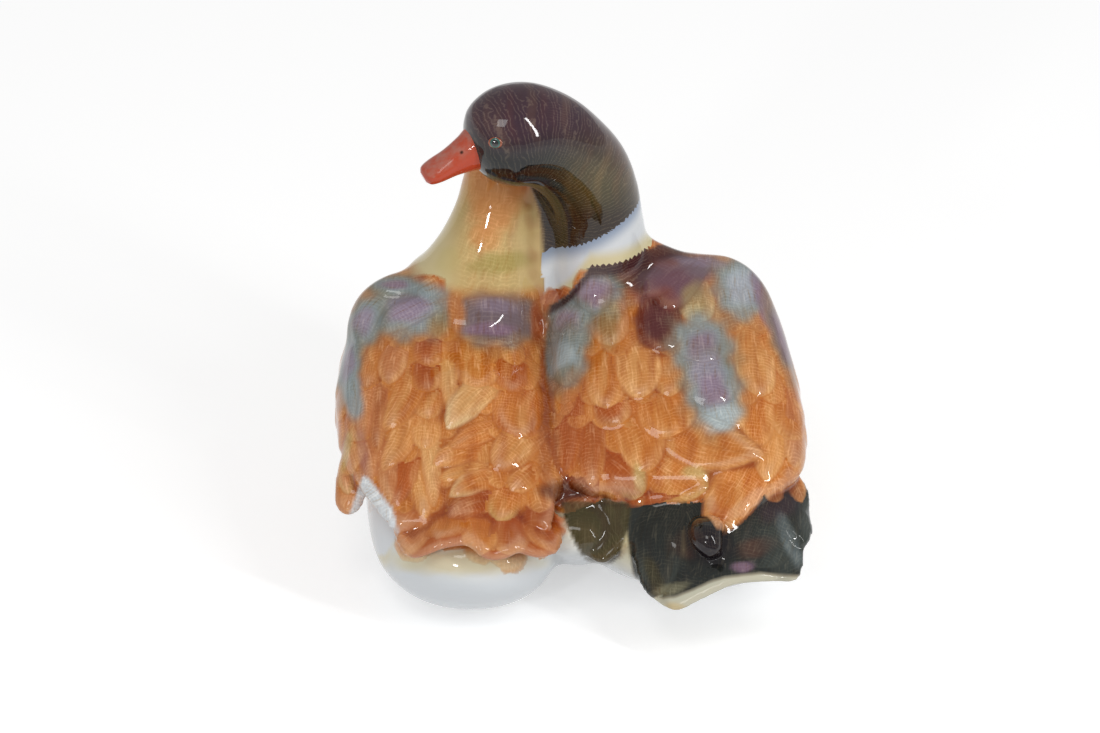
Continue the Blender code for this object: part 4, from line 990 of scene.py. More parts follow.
@dataclass
class Plumage:
    """Lays the feathers on the skin and remembers which of them shows on each face."""

    points: Array
    normals: Array
    faces: Array
    tree: BVHTree
    dice: random.Random = field(default_factory=lambda: random.Random(11))
    laid: list = field(default_factory=list)

    def __post_init__(self) -> None:
        """Prepares the heights and the scores."""
        self.heights = np.zeros(len(self.points))
        self.best = np.full(len(self.faces), -1)
        self.second = np.full(len(self.faces), -1)
        self.best_score = np.zeros(len(self.faces))
        self.second_score = np.zeros(len(self.faces))
        self.centres = self.points[self.faces].mean(axis=1)
        self.ends = np.concatenate([self.faces[:, [k, (k + 1) % 4]] for k in range(4)])
        self.neighbours = np.maximum(np.bincount(self.ends.ravel(), minlength=len(self.points)), 1)

    def half_width(self, along: Array, width: float, point: float) -> Array:
        """Half the width of a feather at shares of its length from the root.

        Args:
            along: Shares of the length.
            width: The feather's greatest width.
            point: How pointed its tip is.

        Returns:
            The half widths.
        """
        belly = 0.58
        swell = 0.62 + 0.38 * np.sin(np.clip(along / belly, 0, 1) * math.pi / 2)
        past = np.clip((along - belly) / (1 - belly), 0, 1)
        closing = (1 - past ** (2.4 - 1.1 * point)) ** (0.5 + 0.35 * point)
        return np.maximum(width / 2 * swell * closing, 1e-6)

    def local(self, record: dict, points: Array) -> dict[str, Array]:
        """A feather's own measures at points in space.

        Args:
            record: What lay() remembers of the feather.
            points: Points in space.

        Returns:
            Shares along and across the feather, and the distance inside its outline.
        """
        offset = points - record["start"]
        along = offset @ record["ahead"] / record["length"]
        middle = 4 * record["bend"] * along * (1 - along)
        across = offset @ record["aside"] - middle
        feather = record["feather"]
        width = feather.width * record["unit"]
        half = self.half_width(along, width, feather.point)
        side_room = half - np.abs(across)
        past = np.clip((along - 0.58) / 0.42, 0, 1)
        slope = half * past * 2.2 / (0.42 * record["length"])
        room = side_room / np.sqrt(1 + slope**2)
        room = np.minimum(room, along * record["length"])
        room = np.where(along > 1, np.minimum(room, (1 - along) * record["length"]), room)
        return {"along": along, "across": across, "half": half, "room": room}

    def aimed(self, feather: Feather, sheet: Sheet) -> dict | None:
        """Throws a feather from a sheet onto the skin.

        Args:
            feather: The feather.
            sheet: The sheet that it is drawn on.

        Returns:
            Its place and measures on the skin, or None where the sheet's rays miss the skin.
        """
        dx = feather.tip[0] - feather.root[0]
        dy = feather.tip[1] - feather.root[1]
        span = math.hypot(dx, dy)
        middle = (
            (feather.root[0] + feather.tip[0]) / 2 - dy / span * feather.bow,
            (feather.root[1] + feather.tip[1]) / 2 + dx / span * feather.bow,
        )
        hits = []
        for spot in (feather.root, middle, feather.tip):
            found, normal, _, _ = self.tree.ray_cast(sheet.place(*spot), sheet.look)
            if found is None:
                return None
            hits.append((found, normal))
        facing = np.array(sum((normal for _, normal in hits), Vector()).normalized())
        start, centre, end = (np.array(found) for found, _ in hits)
        ahead = end - start
        ahead = ahead - facing * (ahead @ facing)
        length = float(np.linalg.norm(ahead))
        if length < SHORTEST_FEATHER or length > LONGEST_STRETCH * span * sheet.unit:
            return None
        ahead = ahead / length
        aside = np.cross(ahead, facing)
        return {
            "feather": feather,
            "unit": sheet.unit,
            "start": start,
            "ahead": ahead,
            "aside": aside,
            "length": length,
            "bend": float((centre - start) @ aside),
            "facing": facing,
            "tint": self.dice.uniform(-1, 1),
            "phase": self.dice.uniform(0, 2),
        }

    def lay(self, feather: Feather, sheet: Sheet) -> None:
        """Lays one feather: raises the skin under it and notes the faces that it shows on.

        Args:
            feather: The feather.
            sheet: The sheet that it is drawn on.
        """
        record = self.aimed(feather, sheet)
        if record is None:
            return
        length = record["length"]
        reach = 0.62 * length + 0.6 * feather.width * sheet.unit
        middle_point = record["start"] + record["ahead"] * length / 2
        near = np.nonzero(np.abs(self.points - middle_point).max(axis=1) < reach)[0]
        near = near[self.normals[near] @ record["facing"] > 0.1]
        measures = self.local(record, self.points[near])
        inside = (measures["room"] > 0) & (measures["along"] > 0) & (measures["along"] < 1)
        near = near[inside]
        if not len(near):
            return
        share = np.abs(measures["across"][inside]) / measures["half"][inside]
        rise = HEEL_SHARE + (1 - HEEL_SHARE) * measures["along"][inside] ** RISE_POWER
        nominal = feather.depth * rise
        edge = eased(0.0, FEATHER_EDGE, measures["room"][inside])
        height = FEATHER_DEPTH * nominal * edge * (1 - BOWL_SHARE + BOWL_SHARE * share**2)
        self.heights[near] = np.maximum(self.heights[near], height)
        self.laid.append(record)
        scores = np.zeros(len(self.points))
        scores[near] = nominal
        close = np.nonzero(np.abs(self.centres - middle_point).max(axis=1) < reach + 0.003)[0]
        self.rank(close, scores[self.faces[close]].max(axis=1))

    def rank(self, close: Array, scores: Array) -> None:
        """Notes the last feather on the faces where it lies highest, or second highest.

        Args:
            close: Faces near the feather.
            scores: How high it lies on each, 0 where it doesn't.
        """
        number = len(self.laid) - 1
        touched = close[scores > 0]
        scores = scores[scores > 0]
        wins = scores > self.best_score[touched]
        won = touched[wins]
        self.second[won] = self.best[won]
        self.second_score[won] = self.best_score[won]
        self.best[won] = number
        self.best_score[won] = scores[wins]
        lost = touched[~wins]
        lost_scores = scores[~wins]
        better = lost_scores > self.second_score[lost]
        self.second[lost[better]] = number
        self.second_score[lost[better]] = lost_scores[better]

    def mean_around(self, values: Array) -> Array:
        """The mean of each vertex's neighbours.

        Args:
            values: One value for each vertex.

        Returns:
            The means.
        """
        start, end = self.ends.T
        total = np.bincount(start, values[end], len(values))
        total += np.bincount(end, values[start], len(values))
        return total / self.neighbours

    def soften(self) -> None:
        """Moves each height half way to the mean of its neighbours', as a thick glaze does."""
        for _ in range(SOFTENING):
            self.heights = (self.heights + self.mean_around(self.heights)) / 2

    def colour(self, record: dict, measures: dict[str, Array]) -> Array:
        """A feather's paint: deeper and darker at its root, partly deeper paint and partly painted shade
        where it tucks under its neighbours, pale at its rim, with the painter's variation.

        Args:
            record: What lay() remembers of the feather.
            measures: Its own measures at the places painted.

        Returns:
            The colours.
        """
        feather = record["feather"]
        half = feather.width * record["unit"] / 2
        inner = np.clip(measures["room"] / (0.70 * half), 0, 1)
        rim = (1 - eased(0.0, 1.0, inner)) * eased(0.25, 0.95, measures["along"])
        # Painted shade, together with deeper paint: each feather is deeper and darker towards its root,
        # where it tucks under its neighbours.
        root = 1 - eased(0.05, 0.65, measures["along"])
        vane, edge = feather.vane.linear, feather.rim.linear
        deep = vane * np.array((0.86, 0.68, 0.48))
        paint = vane + (deep - vane) * (0.80 * root)[:, None]
        paint = paint + (edge - paint) * (0.50 * rim)[:, None]
        shaft = 1 - 0.10 * np.exp(-((measures["across"] / 0.0007) ** 2))
        return paint * (shaft * (1 + 0.05 * record["tint"]))[:, None]


@dataclass(frozen=True)
class FeatherField:
    """Rows of overlapping feathers on a sheet, each row shifted by half a feather.

    They lean one way, and may also spread out from a middle line. A size is a width and a length.
    """

    corner: tuple[float, float]
    rows: int
    columns: int
    step: tuple[float, float]
    size: tuple[float, float]
    lean: tuple[float, float]
    depth: float
    point: float
    middle: float = 0.0
    spread: float = 0.0
    rim: Glaze = Glaze.LIGHT_ORANGE

    def feathers(self) -> list[Feather]:
        """Draws the field.

        Returns:
            The feathers, in the order that they are laid.
        """
        width, length = self.size
        reach = math.hypot(*self.lean)
        laid = []
        for row in range(self.rows):
            for column in range(self.columns):
                x = self.corner[0] + self.step[0] * (column + row % 2 / 2)
                y = self.corner[1] + self.step[1] * row
                ahead = self.lean[0] / reach * length + (x - self.middle) * self.spread
                tip = (x + ahead, y + self.lean[1] / reach * length)
                laid.append(Feather((x, y), tip, width, 0.0, self.depth, self.point, rim=self.rim))
        return laid


BACK_FIELDS = (
    FeatherField((352, 300), 8, 9, (24, 24), (29, 42), (0, 1), 0.42, 0.2, 455, 0.12),
    FeatherField((558, 290), 8, 11, (24, 24), (29, 42), (0, 1), 0.42, 0.2, 640, 0.08),
)
FLANK_FIELD = FeatherField((0, 18), 3, 5, (18, 11), (17, 22), (1, 0.45), 0.8, 0.15, rim=G.APRICOT)


@dataclass
class NeckFrame:
    """Measures around a neck: how far along its line a point lies, and how far round it."""

    line: list[Vector]

    def measure(self, points: Array) -> tuple[Array, Array]:
        """Distances along and round the line, in millimetres.

        Args:
            points: Points in space.

        Returns:
            How far along and how far round each point lies.
        """
        line = np.array([tuple(p) for p in self.line])
        steps = np.linalg.norm(np.diff(line, axis=0), axis=1)
        reached = np.concatenate([[0], np.cumsum(steps)])
        along = np.zeros(len(points))
        around = np.zeros(len(points))
        closest = np.full(len(points), 1e9)
        for i in range(len(line) - 1):
            span = line[i + 1] - line[i]
            share = np.clip((points - line[i]) @ span / (span @ span), 0, 1)
            foot = line[i] + share[:, None] * span
            distance = np.linalg.norm(points - foot, axis=1)
            nearer = distance < closest
            forward = span / np.linalg.norm(span)
            side = np.cross(forward, (0.0, 0.0, 1.0))
            side = side / np.linalg.norm(side)
            over = np.cross(side, forward)
            offset = points - foot
            angle = np.arctan2(offset @ side, offset @ over)
            along[nearer] = (reached[i] + share * steps[i])[nearer]
            around[nearer] = angle[nearer] * 0.020
            closest[nearer] = distance[nearer]
        return along / MM, around / MM


@dataclass
class Painter:
    """Paints the skin: the ground, the feathers, the washes over them with some painted shade among them,
    painted shade in the hollows, and the hard borders.
    """

    skin: Piece
    forms: dict[Part, list[Piece]]
    plumage: Plumage

    def shares(self) -> Array:
        """How much each vertex belongs to each part, from how near the part's own form lies.

        Returns:
            A row of shares for each vertex, which add up to 1.
        """
        points = self.plumage.points
        distances = np.full((len(points), len(Part)), FAR_FORM)
        for part, pieces in self.forms.items():
            for piece in pieces:
                shape = bmesh.new()
                shape.from_mesh(piece.data)
                tree = BVHTree.FromBMesh(shape)
                shape.free()
                corners = np.array([tuple(v.co) for v in piece.data.vertices])
                low, high = corners.min(axis=0) - FORM_MARGIN, corners.max(axis=0) + FORM_MARGIN
                near = np.nonzero(((points > low) & (points < high)).all(axis=1))[0]
                for i in near:
                    _, _, _, distance = tree.find_nearest(Vector(points[i]), FORM_REACH)
                    if distance is not None and distance < distances[i, part.value]:
                        distances[i, part.value] = distance
        distances -= distances.min(axis=1, keepdims=True)
        weights = np.exp(-distances / FORM_BLEND)
        weights /= weights.sum(axis=1, keepdims=True)
        x, y, z = points.T / MM
        compass = np.arctan2(y - 48, x + 40)
        base = self.neck_border(compass, HEN_NECK_BASE)
        above = eased(-4, 4, z - base) * (np.hypot(x + 40, y - 48) < 44) * (x < 2)
        neck, back, body = Part.HEN_NECK.value, Part.HEN_BACK.value, Part.HEN_BODY.value
        down = weights[:, neck] * (1 - above)
        up = weights[:, [back, body]] * above[:, None]
        weights[:, back] += down
        weights[:, neck] += up.sum(axis=1) - down
        weights[:, [back, body]] -= up
        return weights

    def fringe(self) -> Array:
        """The height of the collar's lower edge at every vertex, in millimetres."""
        x, y, _ = self.plumage.points.T / MM
        return self.neck_border(np.arctan2(y - 47, x - 12), COLLAR_FRINGE)

    def neck_border(self, angle: Array, knots: tuple) -> Array:
        """The height of a border round a neck, by the compass angle, in millimetres.

        Args:
            angle: Compass angles in radians.
            knots: Angles in degrees, each with the border's height.

        Returns:
            The height at each angle.
        """
        degrees = np.degrees(angle)
        turns = [k[0] - 360 for k in knots] + [k[0] for k in knots] + [k[0] + 360 for k in knots]
        heights = [k[1] for k in knots] * 3
        return np.interp(degrees, turns, heights)

    def belonging(self, shares: Array, *parts: Part) -> Array:
        """How much each vertex belongs to any of some parts."""
        return shares[:, [part.value for part in parts]].sum(axis=1)

    def ground(self, shares: Array) -> tuple[Array, ...]:
        """The paint of every vertex before its feathers.

        Args:
            shares: How much each vertex belongs to each part.

        Returns:
            The paint, what lies past its border, the strokes' strength and measures, and the teeth.
        """
        points, normals = self.plumage.points, self.plumage.normals
        x, y, z = points.T / MM
        count = len(points)
        sheet_x, sheet_y = BACK_SHEET.coordinates(points)
        towards = normals @ -np.array(BACK_SHEET.look)
        colours = np.zeros((len(Part), count, 3))
        strokes = np.zeros((len(Part), count))

        def blend(part: Part, glaze: Glaze, weight: Array) -> None:
            """Blends a colour over a part's ground."""
            ground = colours[part.value]
            colours[part.value] = ground + (glaze.linear - ground) * weight[:, None]

        for part, (glaze, strength) in PLAIN_TONES.items():
            colours[part.value] = glaze.linear
            strokes[part.value] = strength
        blend(Part.HEN_BODY, Glaze.CREAM, eased(28, 60, z))
        blend(Part.HEN_BODY, Glaze.APRICOT, eased(45, 85, z) * eased(20, 70, y) * 0.9)
        blend(Part.DRAKE_BODY, Glaze.COOL_WHITE, eased(45, 15, z))
        blend(Part.DRAKE_BODY, Glaze.PLUM, eased(45, 75, z) * eased(30, 65, y))

        drake = NeckFrame(even_line([p for p, _ in DRAKE_NECK_LINE + DRAKE_HEAD_LINE], 30))
        hen = NeckFrame(even_line([p for p, _ in HEN_NECK_LINE + HEN_HEAD_LINE], 30))
        drake_along, drake_around = drake.measure(points)
        hen_along, hen_around = hen.measure(points)
        crown = eased(-0.15, 0.55, normals[:, 2])
        blend(Part.DRAKE_NECK, Glaze.AUBERGINE, crown)
        gold = np.exp(-(((sheet_x - 600) / 36) ** 2 + ((sheet_y - 185) / 36) ** 2))
        blend(Part.DRAKE_NECK, Glaze.OLIVE_GOLD, gold * 0.6)
        blend(Part.DRAKE_NECK, Glaze.DARK_BROWN, eased(200, 226, sheet_y) * 0.8)
        cheek = np.exp(-(((sheet_x - 530) / 26) ** 2 + ((sheet_y - 186) / 16) ** 2))
        blend(Part.DRAKE_NECK, Glaze.BLACK_PURPLE, cheek * 0.9)
        hen_top = eased(70, 95, hen_along)
        blend(Part.HEN_NECK, Glaze.ORANGE, hen_top * eased(-0.3, 0.5, normals[:, 2]))
        blend(Part.HEN_NECK, Glaze.CREAM, 0.6 * eased(465, 440, sheet_x))
        strokes[Part.HEN_NECK.value] = 0.45 * eased(0.0, 0.5, np.exp(-(((sheet_x - 490) / 24) ** 2)))

        paint = np.einsum("pnc,np->nc", colours, shares)
        strength = np.einsum("pn,np->n", strokes, shares)
        bodies = self.belonging(shares, Part.HEN_BODY, Part.DRAKE_BODY)
        for outline, glaze in ((DARK_TAIL_FIELD, Glaze.SLATE), (WING_TIP_FIELD, Glaze.DARK_OLIVE)):
            covered = eased(-1.0, 0.6, self.room_inside(outline)) * bodies * eased(0.0, 0.2, towards)
            paint += (glaze.linear - paint) * covered[:, None]
            strength += (0.4 - strength) * covered
        under = paint.copy()
        stroke = np.stack([y, x, np.full(count, FAR_INSIDE)], axis=1)
        teeth = np.zeros(count)

        owner = shares.argmax(axis=1)
        on_hen_neck = owner == Part.HEN_NECK.value
        stroke[on_hen_neck, 0] = hen_along[on_hen_neck]
        stroke[on_hen_neck, 1] = hen_around[on_hen_neck]

        dark_low = 139 + 0.526 * (x - 5.7)
        fringe = self.fringe()
        on_neck = (shares[:, Part.DRAKE_NECK.value] > 0.04) | (owner == Part.DRAKE_NECK.value)
        stroke[on_neck, 0] = drake_along[on_neck]
        stroke[on_neck, 1] = drake_around[on_neck]
        # Painted shade: the collar's top, under the overhanging head and neck, is painted grey-blue and
        # fades to white 9 mm lower.
        collar = Glaze.COOL_WHITE.linear + np.zeros((count, 3))
        below_collar_shade = eased(0, 9, dark_low - z)[:, None]
        collar = Glaze.COLLAR_SHADE_GREY.linear * (1 - below_collar_shade) + collar * below_collar_shade
        creamy = eased(9, 2, z - fringe)[:, None]
        collar = collar * (1 - creamy) + Glaze.CREAM.linear * creamy
        upper = on_neck & (z > (dark_low + fringe) / 2)
        lower = on_neck & ~upper
        under[on_neck] = collar[on_neck]
        stroke[upper, 2] = (z - dark_low)[upper]
        stroke[lower, 2] = (fringe - z)[lower]
        maroon = Glaze.DARK_MAROON.linear
        deep = (shares[:, Part.DRAKE_NECK.value] * eased(6, 0, fringe - z))[:, None]
        paint[lower] = (paint * (1 - deep) + maroon * deep)[lower]
        teeth[on_neck] = 1.0

        tail = owner == Part.DRAKE_TAIL.value
        rim_y = np.interp(sheet_x, [p[0] for p in TAIL_RIM_LINE], [p[1] for p in TAIL_RIM_LINE])
        rim_room = (rim_y - sheet_y) * BACK_SHEET.unit / MM
        rim_room = np.where(towards > 0.05, rim_room, -FAR_INSIDE)
        stroke[tail, 2] = rim_room[tail]
        under[tail] = (Glaze.CREAM.linear + Glaze.PALE_BLUE.linear) / 2
        tail_root = np.array((60.0, -50.0, 68.0))
        radial = np.linalg.norm(points / MM - tail_root, axis=1)
        dark = tail | np.isin(owner, (Part.LEFT_PRIMARY.value, Part.RIGHT_PRIMARY.value))
        stroke[dark, 0] = radial[dark]
        return paint, under, strength, stroke, teeth

    def flow(self) -> Array:
        """Streaks of deeper and paler glaze that run down the backs, from -0.5 to 0.7.

        Returns:
            The streaks' strength at every vertex, paler below 0 and deeper above.
        """
        x, y = BACK_SHEET.coordinates(self.plumage.points)
        bend = x + 7 * np.sin(y * 0.034 + x * 0.011) + 3 * np.sin(y * 0.11)
        streaks = np.sin(bend * 0.185 + 1.4 * np.sin(y * 0.017)) + 0.6 * np.sin(bend * 0.43 + y * 0.021)
        broken = 0.65 + 0.35 * np.sin(y * 0.060 + x * 0.037)
        return np.clip(streaks * broken * 0.50, -0.5, 0.7)

    def room_inside(self, outline: tuple) -> Array:
        """How far inside an outline on the back's sheet each vertex lies, in millimetres.

        Args:
            outline: The outline's corners on the sheet.

        Returns:
            The distances, below 0 outside it.
        """
        x, y = BACK_SHEET.coordinates(self.plumage.points)
        nearest = np.full(len(x), 1e9)
        inside = np.zeros(len(x), dtype=bool)
        for (x1, y1), (x2, y2) in zip(outline, outline[1:] + outline[:1]):
            dx, dy = x2 - x1, y2 - y1
            share = np.clip(((x - x1) * dx + (y - y1) * dy) / (dx * dx + dy * dy), 0, 1)
            nearest = np.minimum(nearest, np.hypot(x - x1 - share * dx, y - y1 - share * dy))
            if dy:
                crossed = ((y1 > y) != (y2 > y)) & (x < x1 + (y - y1) * dx / dy)
                inside ^= crossed
        return np.where(inside, nearest, -nearest) * BACK_SHEET.unit / MM

    def washes(self, shares: Array) -> tuple[Array, Array]:
        """What the dabs of colour, some of them painted shade, do to a vertex's paint: a share that stays,
        and what is added.

        Args:
            shares: How much each vertex belongs to each part.

        Returns:
            The share that stays and the colour added, for every vertex.
        """
        points, normals = self.plumage.points, self.plumage.normals
        shares = shares.copy()
        neck, back = Part.DRAKE_NECK.value, Part.DRAKE_BACK.value
        below = eased(0, 2, self.fringe() - points[:, 2] / MM) * shares[:, neck]
        shares[:, back] += below
        shares[:, neck] -= below
        x, y = BACK_SHEET.coordinates(points)
        towards = eased(0.0, 0.25, normals @ -np.array(BACK_SHEET.look))
        stays = np.ones(len(points))
        added = np.zeros((len(points), 3))

        def cover(glaze: Glaze, weight: Array) -> None:
            """Lays one colour over what is there.

            Args:
                glaze: The colour.
                weight: How much of what is there it hides.
            """
            nonlocal stays, added
            stays = stays * (1 - weight)
            added = added * (1 - weight)[:, None] + glaze.linear * weight[:, None]

        for dab in DABS:
            turn = math.radians(dab.turn)
            dx, dy = x - dab.x, y - dab.y
            wide = (dx * math.cos(turn) + dy * math.sin(turn)) / dab.half_width
            high = (dy * math.cos(turn) - dx * math.sin(turn)) / dab.half_height
            wobble = 0.10 * np.sin(x * 0.19 + dab.y) * np.sin(y * 0.23 + dab.x)
            reach = np.hypot(wide, high) + wobble
            on_part = self.belonging(shares, *dab.parts)
            cover(dab.glaze, dab.strength * eased(1.15, 0.45, reach) * on_part * towards)
        under_collar = self.fringe() - points[:, 2] / MM
        by_neck = np.hypot(points[:, 0] / MM - 12, points[:, 1] / MM - 47) < 40
        drake = self.belonging(shares, *DRAKE_BACKS)
        band = eased(0.0, 1.0, under_collar) * eased(8.0, 4.0, under_collar) * by_neck * drake
        cover(Glaze.DARK_MAROON, 0.9 * band)
        rump = eased(-0.8, 0.8, self.room_inside(RUMP_FIELD))
        bodies = self.belonging(shares, *HEN_BACKS) - self.belonging(shares, Part.HEN_TAIL)
        cover(Glaze.COOL_WHITE, rump * bodies * towards)
        tip = eased(-0.8, 0.8, self.room_inside(WING_TIP_FIELD))
        bodies = self.belonging(shares, Part.HEN_BODY, Part.DRAKE_BODY, Part.LEFT_PRIMARY)
        cover(Glaze.DARK_OLIVE, 0.85 * tip * bodies * towards)
        return stays, added

    def hollows(self, points: Array) -> Array:
        """How deep each vertex lies below its surroundings, in millimetres.

        Args:
            points: The skin's points, in the order of its vertices.

        Returns:
            The depths, below 0 on a ridge.
        """
        mean = points
        for _ in range(HOLLOW_REACH):
            mean = np.stack([self.plumage.mean_around(column) for column in mean.T], axis=1)
        return ((mean - points) * self.plumage.normals).sum(axis=1) / MM

    def corners(self, faces: Array) -> Array:
        """The numbers of the corners of some faces."""
        return (faces[:, None] * 4 + np.arange(4)).ravel()

    def run(self) -> None:
        """Writes the painting into the skin's attributes."""
        plumage = self.plumage
        faces = plumage.faces
        plumage.heights *= eased(0.5, -1.5, self.room_inside(RUMP_FIELD))
        shares = self.shares()
        stays, added = self.washes(shares)
        corner_count = faces.size
        vertex = faces.ravel()
        paint, under, strength, stroke, teeth = (values[vertex] for values in self.ground(shares))
        corner_points = plumage.points[vertex]
        for number, record in enumerate(plumage.laid):
            owned = np.nonzero(plumage.best == number)[0]
            if len(owned):
                corners = self.corners(owned)
                measures = plumage.local(record, corner_points[corners])
                bare_corners = self.corners(owned[plumage.second[owned] < 0])
                border_crossed = stroke[bare_corners, 2] < 0
                keep_under = under[bare_corners].copy()
                under[bare_corners] = paint[bare_corners]
                under[bare_corners[border_crossed]] = keep_under[border_crossed]
                paint[corners] = plumage.colour(record, measures)
                strength[corners] = record["feather"].strokes
                arc = (measures["across"] / np.maximum(measures["half"], 1e-4)) ** 2
                stroke[corners, 0] = (measures["along"] * record["length"]) / MM
                stroke[corners, 0] += record["phase"] - arc * 1.6
                stroke[corners, 1] = measures["across"] / MM
                stroke[corners, 2] = measures["room"] / MM
                teeth[corners] = 0.0
            below = np.nonzero(plumage.second == number)[0]
            if len(below):
                corners = self.corners(below)
                measures = plumage.local(record, corner_points[corners])
                under[corners] = plumage.colour(record, measures)
        flow = self.flow()[vertex][:, None] * np.minimum(strength, 1.0)[:, None]
        streak = Glaze.DEEP_ORANGE.linear * 0.85
        bright = np.clip(paint[:, :1] / 0.5, 0, 1)
        paint = paint + (streak - paint) * np.clip(flow, 0, 1) * bright
        pale = Glaze.APRICOT.linear
        paint = paint + (pale - paint) * np.clip(-flow, 0, 1) * bright
        paint = paint * stays[vertex][:, None] + added[vertex]
        keeps = stroke[:, 2] > -FAR_INSIDE + 1
        washed_under = under * stays[vertex][:, None] + added[vertex]
        neckish = teeth > 0
        under = np.where((neckish | ~keeps)[:, None], under, washed_under)
        # Painted shade: hollows in the relief are darkened and deepened, partly as the glaze's pooling and
        # partly as painted shade; ridges turn paler where the glaze is thin.
        depth = self.hollows(self.final_points())
        pool_and_shade = eased(0.02, 0.34, depth)[vertex][:, None]
        thin = eased(-0.03, -0.40, depth)[vertex][:, None]
        paint, under = (self.glazed(tone, pool_and_shade, thin) for tone in (paint, under))
        mesh = self.skin.data
        mesh.vertices.foreach_set("co", self.final_points().ravel())
        one = np.ones((corner_count, 1))
        self.write(mesh, "paint", "FLOAT_COLOR", np.hstack([paint, strength[:, None]]))
        self.write(mesh, "under", "FLOAT_COLOR", np.hstack([under, one]))
        self.write(mesh, "stroke", "FLOAT_VECTOR", stroke)
        self.write(mesh, "teeth", "FLOAT", teeth)
        mesh.update()

    def glazed(self, paint: Array, pool_and_shade: Array, thin: Array) -> Array:
        """Paint under its glaze: deeper and darker in hollows, partly the glaze's pooling and partly painted
        shade, pinkish and pale where it is thin.

        Args:
            paint: The colours as painted.
            pool_and_shade: How much the glaze pools and the painted shade darkens at each.
            thin: How thin it is at each.

        Returns:
            The colours as they show.
        """
        chroma = np.clip((paint[:, :1] - paint[:, 2:]) / np.maximum(paint[:, :1], 0.02), 0, 1)
        deep = 1 - pool_and_shade * ((1 - np.array((0.62, 0.42, 0.28))) * chroma + 0.22 * (1 - chroma))
        bright = np.clip(paint[:, :1] / 0.5, 0, 1)
        pale = paint + (np.array((0.78, 0.46, 0.28)) - paint) * (thin * 0.40 * chroma * bright)
        return np.clip(pale * deep, 0, 1)

    def final_points(self) -> Array:
        """The skin's points with the feathers' relief."""
        plumage = self.plumage
        return plumage.points + plumage.normals * plumage.heights[:, None]

    def write(self, mesh: bpy.types.Mesh, name: str, kind: str, values: Array) -> None:
        """Writes one attribute on the mesh's corners.

        Args:
            mesh: The skin's mesh.
            name: The attribute's name.
            kind: Its type.
            values: A row for each corner.
        """
        attribute = mesh.attributes.new(name, kind, "CORNER")
        key = {"FLOAT_COLOR": "color", "FLOAT_VECTOR": "vector", "FLOAT": "value"}[kind]
        attribute.data.foreach_set(key, np.ascontiguousarray(values, dtype=np.float32).ravel())


